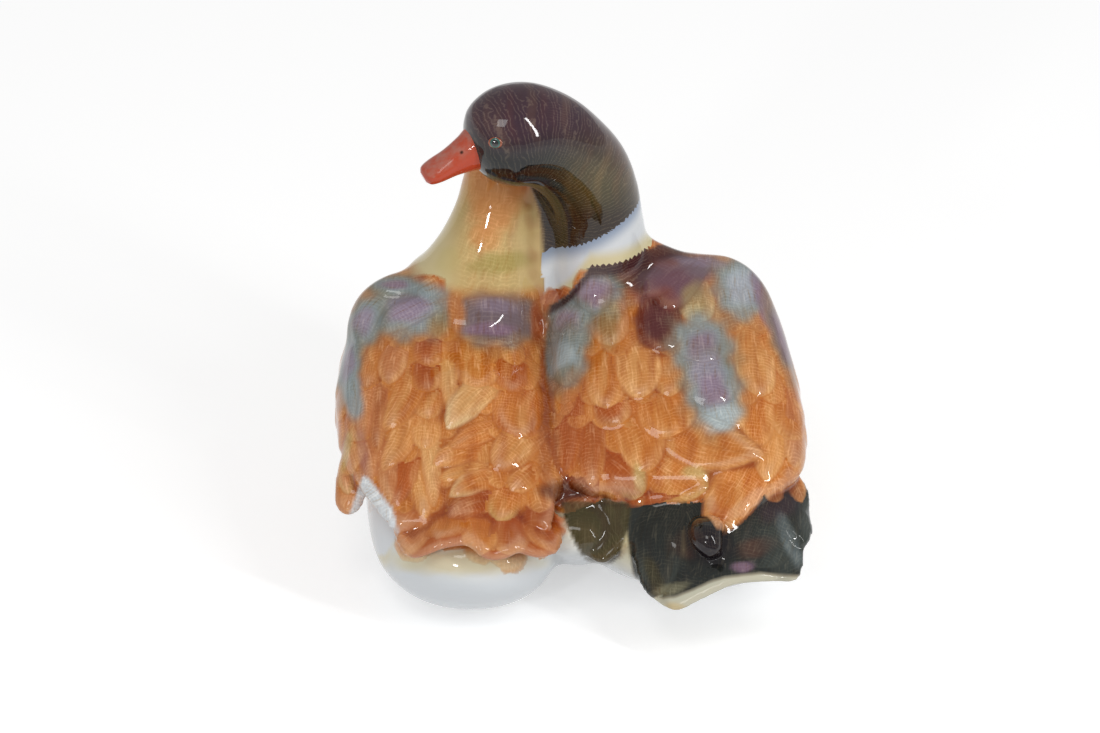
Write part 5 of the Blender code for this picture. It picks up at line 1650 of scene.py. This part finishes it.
@dataclass
class NodeDesk:
    """A small desk for building a material's nodes."""

    material: bpy.types.Material

    def __post_init__(self) -> None:
        """Opens the material's node tree."""
        self.material.use_nodes = True
        self.tree = self.material.node_tree
        self.shader = self.tree.nodes["Principled BSDF"]

    def add(self, kind: str, **settings: object) -> bpy.types.Node:
        """Adds a node and sets its properties.

        Args:
            kind: The node's type.
            settings: Its properties.

        Returns:
            The node.
        """
        node = self.tree.nodes.new(kind)
        for key, value in settings.items():
            setattr(node, key, value)
        return node

    def feed(self, socket: Socket, value: object) -> None:
        """Links a socket, or sets its value.

        Args:
            socket: The socket.
            value: Another socket, or a constant.
        """
        if isinstance(value, Socket):
            self.tree.links.new(value, socket)
        else:
            socket.default_value = value

    def math(self, operation: str, *values: object, clamp: bool = False) -> Socket:
        """A math node's result.

        Args:
            operation: The node's operation.
            values: Its inputs, as sockets or constants.
            clamp: Whether it stays from 0 to 1.

        Returns:
            The result's socket.
        """
        node = self.add("ShaderNodeMath", operation=operation, use_clamp=clamp)
        for socket, value in zip(node.inputs, values):
            self.feed(socket, value)
        return node.outputs[0]

    def step(self, value: object, low: float, high: float) -> Socket:
        """A smooth rise from 0 at low to 1 at high.

        Args:
            value: What is measured.
            low: Where the rise starts.
            high: Where it ends.

        Returns:
            The rise's socket.
        """
        node = self.add("ShaderNodeMapRange", interpolation_type="SMOOTHSTEP")
        self.feed(node.inputs["Value"], value)
        node.inputs["From Min"].default_value = low
        node.inputs["From Max"].default_value = high
        return node.outputs["Result"]

    def mix(self, share: object, first: object, second: object, blend: str = "MIX") -> Socket:
        """Two colours mixed.

        Args:
            share: How much of the second shows.
            first: The first colour.
            second: The second colour.
            blend: How they are mixed.

        Returns:
            The mixed colour's socket.
        """
        node = self.add("ShaderNodeMix", data_type="RGBA", blend_type=blend)
        self.feed(node.inputs[0], share)
        self.feed(node.inputs[6], first)
        self.feed(node.inputs[7], second)
        return node.outputs[2]

    def scaled(self, colour: object, share: object) -> Socket:
        """A colour or vector times a number.

        Args:
            colour: The colour or vector.
            share: The number.

        Returns:
            The result's socket.
        """
        node = self.add("ShaderNodeVectorMath", operation="SCALE")
        self.feed(node.inputs[0], colour)
        self.feed(node.inputs["Scale"], share)
        return node.outputs[0]

    def noise(
        self,
        scale: float,
        detail: float = 2.0,
        roughness: float = 0.5,
        place: Socket | None = None,
    ) -> Socket:
        """Noise over a place given, or else over the object's own coordinates.

        Args:
            scale: How fine the noise is.
            detail: How many finer layers it has.
            roughness: How strong the finer layers are.
            place: Where it is read.

        Returns:
            The noise's value.
        """
        place = place or self.add("ShaderNodeTexCoord").outputs["Object"]
        node = self.add("ShaderNodeTexNoise")
        self.feed(node.inputs["Vector"], place)
        node.inputs["Scale"].default_value = scale
        node.inputs["Detail"].default_value = detail
        node.inputs["Roughness"].default_value = roughness
        return node.outputs["Fac"]

    def attribute(self, name: str) -> bpy.types.Node:
        """A mesh attribute's node."""
        return self.add("ShaderNodeAttribute", attribute_name=name)

    def times(self, *values: object) -> Socket:
        """The product of several values.

        Args:
            values: Sockets or constants.

        Returns:
            The product's socket.
        """
        product = values[0]
        for value in values[1:]:
            product = self.math("MULTIPLY", product, value)
        return product

    def apart(self, vector: Socket) -> tuple[Socket, ...]:
        """A vector's three parts.

        Args:
            vector: The vector's socket.

        Returns:
            The sockets of x, y and z.
        """
        node = self.add("ShaderNodeSeparateXYZ")
        self.feed(node.inputs[0], vector)
        return tuple(node.outputs)

    def distance(self, middle: Vector) -> Socket:
        """The distance from a place in the object's own coordinates.

        Args:
            middle: The place.

        Returns:
            The distance's socket.
        """
        node = self.add("ShaderNodeVectorMath", operation="DISTANCE")
        self.feed(node.inputs[0], self.add("ShaderNodeTexCoord").outputs["Object"])
        node.inputs[1].default_value = middle
        return node.outputs["Value"]

    def dress(self, colour: Socket, coat: dict[str, float]) -> None:
        """Gives the shader its colour and its constants.

        Args:
            colour: The colour's socket.
            coat: The names of the shader's sockets, with their values.
        """
        self.feed(self.shader.inputs["Base Color"], colour)
        for name, value in coat.items():
            self.shader.inputs[name].default_value = value

    def bump(self, height: Socket, strength: float) -> None:
        """Makes the surface uneven.

        Args:
            height: The height's socket.
            strength: How uneven it is.
        """
        node = self.add("ShaderNodeBump")
        node.inputs["Strength"].default_value = strength
        node.inputs["Distance"].default_value = BUMP_DISTANCE
        self.feed(node.inputs["Height"], height)
        self.feed(self.shader.inputs["Normal"], node.outputs["Normal"])


BUMP_DISTANCE = 0.0003
CLAY_TONE = (0.88, 0.72, 0.46)
SKIN_COAT = {
    "Roughness": 0.16,
    "Specular IOR Level": 0.0,
    "Coat Weight": 1.0,
    "Coat IOR": 1.48,
    "Coat Roughness": 0.045,
}
BILL_COAT = SKIN_COAT | {"Roughness": 0.2, "Coat IOR": 1.40, "Coat Roughness": 0.04}
EYE_COAT = {"Roughness": 0.12, "Coat Weight": 1.0, "Coat Roughness": 0.02}


@dataclass
class Marks:
    """The sockets of what the painter wrote on the skin, and of the hand's unevenness."""

    desk: NodeDesk
    unevenness: float
    line_pitch: float

    def __post_init__(self) -> None:
        """Reads the attributes and makes the noises."""
        desk = self.desk
        paint = desk.attribute("paint")
        self.paint = paint.outputs["Color"]
        self.strength = paint.outputs["Alpha"]
        self.under = desk.attribute("under").outputs["Color"]
        self.along, self.across, self.room = desk.apart(desk.attribute("stroke").outputs["Vector"])
        self.teeth = desk.attribute("teeth").outputs["Fac"]
        self.feathery = desk.math("SUBTRACT", 1.0, self.teeth)
        self.wander = desk.noise(170.0)
        self.broad = desk.noise(45.0, 3.0)
        self.warp = desk.times(desk.math("SUBTRACT", self.wander, 0.5), self.unevenness)
        self.line = self.wave(self.along, self.line_pitch)
        self.lighter = self.thinned()

    def wave(self, place: Socket, pitch: float) -> Socket:
        """A sine wave along a measure in millimetres, bent by the hand."""
        bent = self.desk.math("ADD", place, self.warp)
        return self.desk.math("SINE", self.desk.times(bent, 2 * math.pi / pitch))

    def thinned(self) -> Socket:
        """The paint where a stroke is thin and the white clay shows through.

        Returns:
            The colour's socket.
        """
        desk = self.desk
        parts = desk.add("ShaderNodeSeparateColor")
        desk.feed(parts.inputs[0], self.paint)
        cream = desk.scaled(CLAY_TONE, desk.math("MULTIPLY_ADD", parts.outputs[0], 0.40, 0.085))
        both = desk.add("ShaderNodeVectorMath", operation="ADD")
        desk.feed(both.inputs[0], desk.scaled(self.paint, 1.15))
        desk.feed(both.inputs[1], cream)
        return both.outputs[0]


@dataclass(frozen=True)
class PaintedGlaze:
    """Hand-painted porcelain under a clear glaze, with the strokes drawn inside each feather."""

    name: str = "painted_glaze"
    stroke_pitch: float = 1.7
    barb_pitch: float = 1.15
    unevenness: float = 4.2
    tooth_pitch: float = 2.6
    tooth_depth: float = 1.3
    raggedness: float = 0.5
    dark_lines: float = 0.22
    light_lines: float = 0.42
    neck_lines: float = 0.30
    barbs: float = 0.30
    brush_marks: float = 0.75
    brush_across: float = 0.75
    brush_along: float = 0.11
    mottle: float = 0.55
    soft_edge: float = 0.80
    sharp_edge: float = 0.12
    edge_shadow: float = 0.38
    rim_light: float = 0.16
    relief: float = 0.16
    ripple: float = 0.7
    dark_tone: tuple[float, ...] = (0.72, 0.58, 0.46, 1.0)
    deep_tone: tuple[float, ...] = (0.78, 0.52, 0.26, 1.0)
    edge_shadow_tone: tuple[float, ...] = (0.70, 0.50, 0.36, 1.0)

    def stroked(self, marks: Marks) -> Socket:
        """The paint with the painter's lines, barbs and brush marks.

        Args:
            marks: What the painter wrote.

        Returns:
            The colour's socket.
        """
        desk, strength, line, lighter = marks.desk, marks.strength, marks.line, marks.lighter
        dark_line = desk.times(desk.step(line, -0.35, -0.95), strength, self.dark_lines)
        colour = desk.mix(dark_line, marks.paint, desk.mix(1.0, marks.paint, self.dark_tone, "MULTIPLY"))
        place = desk.add("ShaderNodeCombineXYZ")
        desk.feed(place.inputs[0], desk.times(marks.across, self.brush_across))
        desk.feed(place.inputs[1], desk.times(marks.along, self.brush_along))
        desk.feed(place.inputs[2], desk.times(marks.broad, 2.0))
        brushed = desk.noise(1.0, 3.0, 0.6, place.outputs[0])
        brush = desk.times(strength, marks.feathery, self.brush_marks)
        deep = desk.mix(1.0, colour, self.deep_tone, "MULTIPLY")
        colour = desk.mix(desk.times(desk.step(brushed, 0.50, 0.28), brush), colour, deep)
        colour = desk.mix(desk.times(desk.step(brushed, 0.52, 0.74), brush), colour, lighter)
        groups = desk.math("MULTIPLY_ADD", desk.step(desk.noise(95.0), 0.40, 0.58), 0.8, 0.2)
        groups = desk.math("MAXIMUM", groups, desk.times(marks.teeth, 0.85))
        broken = desk.step(desk.noise(900.0), 0.28, 0.56)
        shown = desk.math("MULTIPLY_ADD", marks.teeth, self.neck_lines, self.light_lines)
        lines = desk.times(desk.step(line, 0.45, 1.0), broken, groups, strength, shown)
        colour = desk.mix(lines, colour, lighter)
        barb = desk.step(marks.wave(marks.across, self.barb_pitch), 0.55, 1.0)
        barbs = desk.times(barb, desk.step(marks.broad, 0.44, 0.60), strength, self.barbs)
        colour = desk.mix(barbs, colour, lighter)
        pooled = desk.math("MULTIPLY_ADD", desk.math("SUBTRACT", marks.broad, 0.5), self.mottle, 1.0)
        return desk.mix(desk.math("MINIMUM", strength, 1.0), colour, desk.scaled(colour, pooled))

    def bordered(self, marks: Marks, colour: Socket) -> Socket:
        """The paint with its border, toothed round a neck and soft round a feather, with painted shadow just
        outside a feather's edge.

        Args:
            marks: What the painter wrote.
            colour: The paint inside the border.

        Returns:
            The colour's socket.
        """
        desk = marks.desk
        half_tooth = self.tooth_pitch / 2
        saw = desk.math("PINGPONG", desk.math("ADD", marks.across, marks.warp), half_tooth)
        saw = desk.math("SUBTRACT", desk.math("DIVIDE", saw, half_tooth), 0.5)
        notch = desk.times(saw, self.tooth_depth, marks.teeth)
        ragged = desk.times(desk.math("SUBTRACT", marks.wander, 0.5), self.raggedness)
        border = desk.math("ADD", marks.room, desk.math("ADD", notch, ragged))
        soft = desk.math("MULTIPLY_ADD", marks.feathery, self.soft_edge, self.sharp_edge)
        inside = desk.math("MULTIPLY_ADD", desk.math("DIVIDE", border, soft), 0.5, 0.5, clamp=True)
        # Painted shadow: the feather below is darkened just outside each feather's edge, where the feather
        # above shades it.
        edge_shadow = desk.times(desk.step(border, -1.3, 0.0), marks.feathery, self.edge_shadow)
        shaded = desk.mix(1.0, marks.under, self.edge_shadow_tone, "MULTIPLY")
        beyond = desk.mix(edge_shadow, marks.under, shaded)
        rim = desk.times(desk.step(border, 1.5, 0.3), marks.strength, self.rim_light)
        return desk.mix(inside, beyond, desk.mix(rim, colour, marks.lighter))

    def make(self) -> bpy.types.Material:
        """Makes the material.

        Returns:
            The material, which reads what the painter wrote.
        """
        desk = NodeDesk(bpy.data.materials.new(self.name))
        marks = Marks(desk, self.unevenness, self.stroke_pitch)
        desk.dress(self.bordered(marks, self.stroked(marks)), SKIN_COAT)
        ripple = desk.times(desk.noise(120.0), self.ripple)
        desk.bump(desk.math("ADD", desk.times(marks.line, marks.strength, self.relief), ripple), 0.16)
        return desk.material


@dataclass(frozen=True)
class BillGlaze:
    """Coral glaze, pinker on top, with a dark nostril on each side."""

    name: str
    lower: Glaze
    upper: Glaze
    nostrils: tuple[Vector, ...]
    nostril_radius: float = 0.0011

    def make(self) -> bpy.types.Material:
        """Makes the material.

        Returns:
            The material.
        """
        desk = NodeDesk(bpy.data.materials.new(self.name))
        upward = desk.apart(desk.add("ShaderNodeTexCoord").outputs["Normal"])[2]
        mottle = desk.step(desk.noise(260.0, 3.0), 0.25, 0.70)
        top = desk.times(desk.step(upward, 0.0, 0.75), mottle)
        colour = desk.mix(top, self.lower.solid, self.upper.solid)
        for nostril in self.nostrils:
            reach = desk.distance(nostril)
            spot = desk.step(reach, self.nostril_radius * 1.3, self.nostril_radius * 0.7)
            colour = desk.mix(spot, colour, Glaze.DARK_BROWN.solid)
        desk.dress(colour, BILL_COAT)
        desk.bump(desk.noise(300.0), 0.25)
        return desk.material


@dataclass(frozen=True)
class EyeGlaze:
    """An eye in rings round a dark pupil."""

    name: str
    middle: Vector

    def make(self) -> bpy.types.Material:
        """Makes the material.

        Returns:
            The material.
        """
        desk = NodeDesk(bpy.data.materials.new(self.name))
        reach = desk.distance(self.middle)
        iris = desk.step(reach, EYE_RADIUS * 0.56, EYE_RADIUS * 0.64)
        lid = desk.step(reach, EYE_RADIUS * 0.80, EYE_RADIUS * 0.88)
        colour = desk.mix(iris, Glaze.BLACK.solid, Glaze.TEAL.solid)
        desk.dress(desk.mix(lid, colour, Glaze.RUST.solid), EYE_COAT)
        return desk.material


@dataclass
class Head:
    """The bill and the eyes of one duck."""

    name: str
    rows: list
    bill_width: float
    droop: float
    glazes: tuple[Glaze, Glaze]
    eye_share: float = 0.46

    def heading(self) -> Vector:
        """The way the bill points."""
        ahead = (self.rows[-1][0] - self.rows[-3][0]).normalized()
        return (ahead - Vector((0, 0, self.droop))).normalized()

    def build_bill(self, sculptor: Sculptor) -> Piece:
        """Models the bill: deep at its base, flatter and broad towards its tip, and rounded off at its end.

        Args:
            sculptor: The maker of forms.

        Returns:
            The bill.
        """
        heading = self.heading()
        start = self.rows[-1][0] - heading * 0.004
        half = self.bill_width / 2
        profile = (
            (-0.28, 0.80, 0.0098),
            (0.00, 0.98, 0.0102),
            (0.22, 0.86, 0.0080),
            (0.50, 0.78, 0.0058),
            (0.78, 0.82, 0.0044),
            (0.94, 0.66, 0.0036),
            (1.00, 0.34, 0.0022),
        )
        rows = [(start + heading * BILL_LENGTH * a, half * w, h) for a, w, h in profile]
        return sculptor.limb(f"{self.name}_bill", rows, 0.9)

    def nostrils(self) -> tuple[Vector, ...]:
        """The places of the two nostrils.

        Returns:
            A place on each side of the bill.
        """
        heading = self.heading()
        side = heading.cross(Vector((0, 0, 1))).normalized()
        up = side.cross(heading)
        middle = self.rows[-1][0] + heading * BILL_LENGTH * 0.16 + up * 0.0060
        return tuple(middle + side * turn * self.bill_width * 0.33 for turn in (-1, 1))

    def eye_places(self, tree: BVHTree) -> list[tuple[Vector, Vector]]:
        """Where the eyes sit on the skin, and the way that each looks.

        Args:
            tree: The skin's faces.

        Returns:
            A place and a direction for each eye.
        """
        centre, half_width, half_height = self.rows[-3]
        ahead = self.heading()
        side = ahead.cross(Vector((0, 0, 1))).normalized()
        up = side.cross(ahead)
        middle = centre + up * half_height * self.eye_share + ahead * EYE_FORWARD
        found = []
        for turn in (-1, 1):
            hit, normal, _, _ = tree.ray_cast(middle + side * turn * 0.05, side * -turn)
            if hit is not None:
                found.append((hit, normal))
        return found


@dataclass(frozen=True)
class SoftBox:
    """A lamp with an even, rectangular face that looks at the ducks."""

    name: str
    place: tuple[float, float, float]
    size: tuple[float, float]
    power: float


SOFT_BOXES = (
    SoftBox("strip", (0.578, -0.485, 0.66), (0.045, 0.69), 2.6),
    SoftBox("front", (-0.46, -1.03, 0.55), (0.10, 0.10), 1.6),
    SoftBox("above", (-0.3, -1.0, 1.6), (0.5, 0.5), 3.0),
)


@dataclass
class Studio:
    """The camera, the floor, the lamps and the world."""

    lens: float = 300.0
    frame_width: float = 1100.0
    frame_height: float = 733.0
    aim_height: float = 0.12
    floor_tone: float = 0.80
    floor_glow: float = 0.50
    room_light: float = 0.46

    def camera(self) -> None:
        """Sets the camera to look as the photograph does, from behind and above."""
        data = bpy.data.cameras.new("camera")
        data.lens = self.lens
        data.sensor_width = 36.0
        data.clip_end = 100.0
        camera = bpy.data.objects.new("camera", data)
        bpy.context.scene.collection.objects.link(camera)
        up = -BACK_SHEET.down
        right = (self.frame_width / 2 - BACK_SHEET.x_zero) * BACK_SHEET.unit
        high = (BACK_SHEET.y_zero - self.frame_height / 2) * BACK_SHEET.unit
        target = Vector((right, 0, 0)) + up * high + SHIFT
        distance = self.frame_width * BACK_SHEET.unit * self.lens / data.sensor_width
        camera.location = target - BACK_SHEET.look * distance
        camera.rotation_mode = "QUATERNION"
        camera.rotation_quaternion = BACK_SHEET.look.to_track_quat("-Z", "Y")
        bpy.context.scene.camera = camera

    def lamp(self, box: SoftBox) -> None:
        """Hangs a soft box.

        Args:
            box: Its place, size and power.
        """
        data = bpy.data.lights.new(box.name, "AREA")
        data.shape = "RECTANGLE"
        data.size, data.size_y = box.size
        data.energy = box.power
        lamp = bpy.data.objects.new(box.name, data)
        bpy.context.scene.collection.objects.link(lamp)
        lamp.location = box.place
        aim = Vector((0, 0, self.aim_height)) - Vector(box.place)
        lamp.rotation_mode = "QUATERNION"
        lamp.rotation_quaternion = aim.to_track_quat("-Z", "Y")

    def floor(self) -> None:
        """Lays a pale floor that shows white to the camera and keeps a soft shadow."""
        bpy.ops.object.select_all(action="DESELECT")
        bpy.ops.mesh.primitive_plane_add(size=40.0, location=(0, 0, -0.0002))
        floor = bpy.context.object
        floor.name = "floor"
        material = bpy.data.materials.new("pale_floor")
        desk = NodeDesk(material)
        desk.shader.inputs["Base Color"].default_value = (*[self.floor_tone] * 3, 1.0)
        desk.shader.inputs["Roughness"].default_value = 0.9
        desk.shader.inputs["Specular IOR Level"].default_value = 0.0
        rays = desk.add("ShaderNodeLightPath")
        seen = desk.math("ADD", rays.outputs["Is Camera Ray"], rays.outputs["Is Glossy Ray"])
        seen = desk.math("ADD", seen, rays.outputs["Is Transmission Ray"], clamp=True)
        glow = desk.add("ShaderNodeEmission")
        glow.inputs["Color"].default_value = (1.0, 1.0, 1.0, 1.0)
        desk.feed(glow.inputs["Strength"], desk.times(seen, self.floor_glow))
        both = desk.add("ShaderNodeAddShader")
        desk.feed(both.inputs[0], desk.shader.outputs[0])
        desk.feed(both.inputs[1], glow.outputs[0])
        desk.feed(desk.tree.nodes["Material Output"].inputs["Surface"], both.outputs[0])
        floor.data.materials.append(material)

    def world(self) -> None:
        """Fills the room with plain white light."""
        world = bpy.data.worlds.new("studio")
        bpy.context.scene.world = world
        world.use_nodes = True
        tree = world.node_tree
        background = tree.nodes["Background"]
        background.inputs[0].default_value = (1.0, 1.0, 1.0, 1.0)
        background.inputs[1].default_value = self.room_light

    def build(self) -> None:
        """Builds the whole studio."""
        self.camera()
        self.floor()
        self.world()
        for box in SOFT_BOXES:
            self.lamp(box)
        bpy.context.scene.view_settings.view_transform = "Standard"


@dataclass
class Figurine:
    """The whole figurine: skin, plumage, painting, bills and eyes."""

    sculptor: Sculptor = field(default_factory=Sculptor)
    pieces: list[Piece] = field(default_factory=list)

    def lay_plumage(self, skin: Piece) -> Plumage:
        """Lays all feathers on the skin.

        Args:
            skin: The bare skin.

        Returns:
            The plumage, softened by its glaze.
        """
        mesh = skin.data
        count = len(mesh.vertices)
        points = np.empty(count * 3)
        mesh.vertices.foreach_get("co", points)
        normals = np.empty(count * 3)
        mesh.vertex_normals.foreach_get("vector", normals)
        faces = np.empty(len(mesh.polygons) * 4, dtype=np.int64)
        mesh.polygons.foreach_get("vertices", faces)
        points, normals, faces = points.reshape(-1, 3), normals.reshape(-1, 3), faces.reshape(-1, 4)
        tree = BVHTree.FromPolygons(points.tolist(), faces.tolist())
        plumage = Plumage(points, normals, faces, tree)
        small = [feather for rows in BACK_FIELDS for feather in rows.feathers()]
        for feather in (*small, *HEN_FEATHERS, *DRAKE_FEATHERS, *TAIL_FEATHERS):
            plumage.lay(feather, BACK_SHEET)
        for sheet in FLANK_SHEETS:
            for feather in FLANK_FIELD.feathers():
                plumage.lay(feather, sheet)
        plumage.soften()
        log.info("laid %d feathers", len(plumage.laid))
        return plumage

    def build(self) -> None:
        """Builds all pieces."""
        skin = self.sculptor.build()
        log.info("skin has %d faces", len(skin.data.polygons))
        plumage = self.lay_plumage(skin)
        painter = Painter(skin, self.sculptor.made, plumage)
        painter.run()
        skin.data.materials.append(PaintedGlaze().make())
        self.pieces.append(skin)
        tree = plumage.tree
        drake, hen = self.sculptor.neck_rows("drake"), self.sculptor.neck_rows("hen")
        heads = (
            Head("drake", drake, DRAKE_BILL_WIDTH, DRAKE_BILL_DROOP, (Glaze.CORAL, Glaze.PINK_CORAL)),
            Head("hen", hen, HEN_BILL_WIDTH, HEN_BILL_DROOP, (Glaze.ORANGE, Glaze.APRICOT)),
        )
        for head in heads:
            bill = head.build_bill(self.sculptor)
            nostrils = tuple(place + SHIFT for place in head.nostrils())
            bill.data.materials.append(BillGlaze(f"{head.name}_bill_glaze", *head.glazes, nostrils).make())
            self.pieces.append(bill)
            for number, (place, normal) in enumerate(head.eye_places(tree)):
                self.pieces.append(self.eye(f"{head.name}_eye_{number + 1}", place, normal))
        self.sculptor.clear()
        for piece in self.pieces:
            self.finish(piece)

    def eye(self, name: str, place: Vector, normal: Vector) -> Piece:
        """Models one eye as a low dome on the head.

        Args:
            name: The new object's name.
            place: Where it sits on the skin.
            normal: The way that it looks.

        Returns:
            The eye.
        """
        bpy.ops.object.select_all(action="DESELECT")
        bpy.ops.mesh.primitive_uv_sphere_add(segments=32, ring_count=16, radius=EYE_RADIUS)
        eye = bpy.context.object
        eye.name = name
        turn = normal.to_track_quat("Z", "Y").to_matrix().to_4x4()
        place_in = Matrix.Translation(place - normal * EYE_SINK)
        eye.data.transform(place_in @ turn @ Matrix.Diagonal(EYE_SHAPE))
        eye.data.materials.append(EyeGlaze(f"{name}_glaze", place + SHIFT).make())
        eye.data.shade_smooth()
        eye.select_set(False)
        return eye

    def finish(self, piece: Piece) -> None:
        """Args:
            piece: The piece.
        """
        mesh = piece.data
        points = np.empty(len(mesh.vertices) * 3)
        mesh.vertices.foreach_get("co", points)
        low, high = (np.array(corner) for corner in CAD_BOX)
        points = np.clip(points.reshape(-1, 3) + np.array(SHIFT), low + BOX_MARGIN, high - BOX_MARGIN)
        mesh.vertices.foreach_set("co", points.ravel())
        mesh.shade_smooth()
        mesh.update()
        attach(piece, BODY)
        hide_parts(NODE)
        log.info("%s has %d faces", piece.name, len(mesh.polygons))


def main() -> None:
    """Builds the figurine and its studio."""
    logging.basicConfig(level=logging.INFO, format="%(name)s: %(message)s")
    bpy.ops.object.select_all(action="DESELECT")
    Figurine().build()
    Studio().build()


if __name__ == "__main__":
    main()
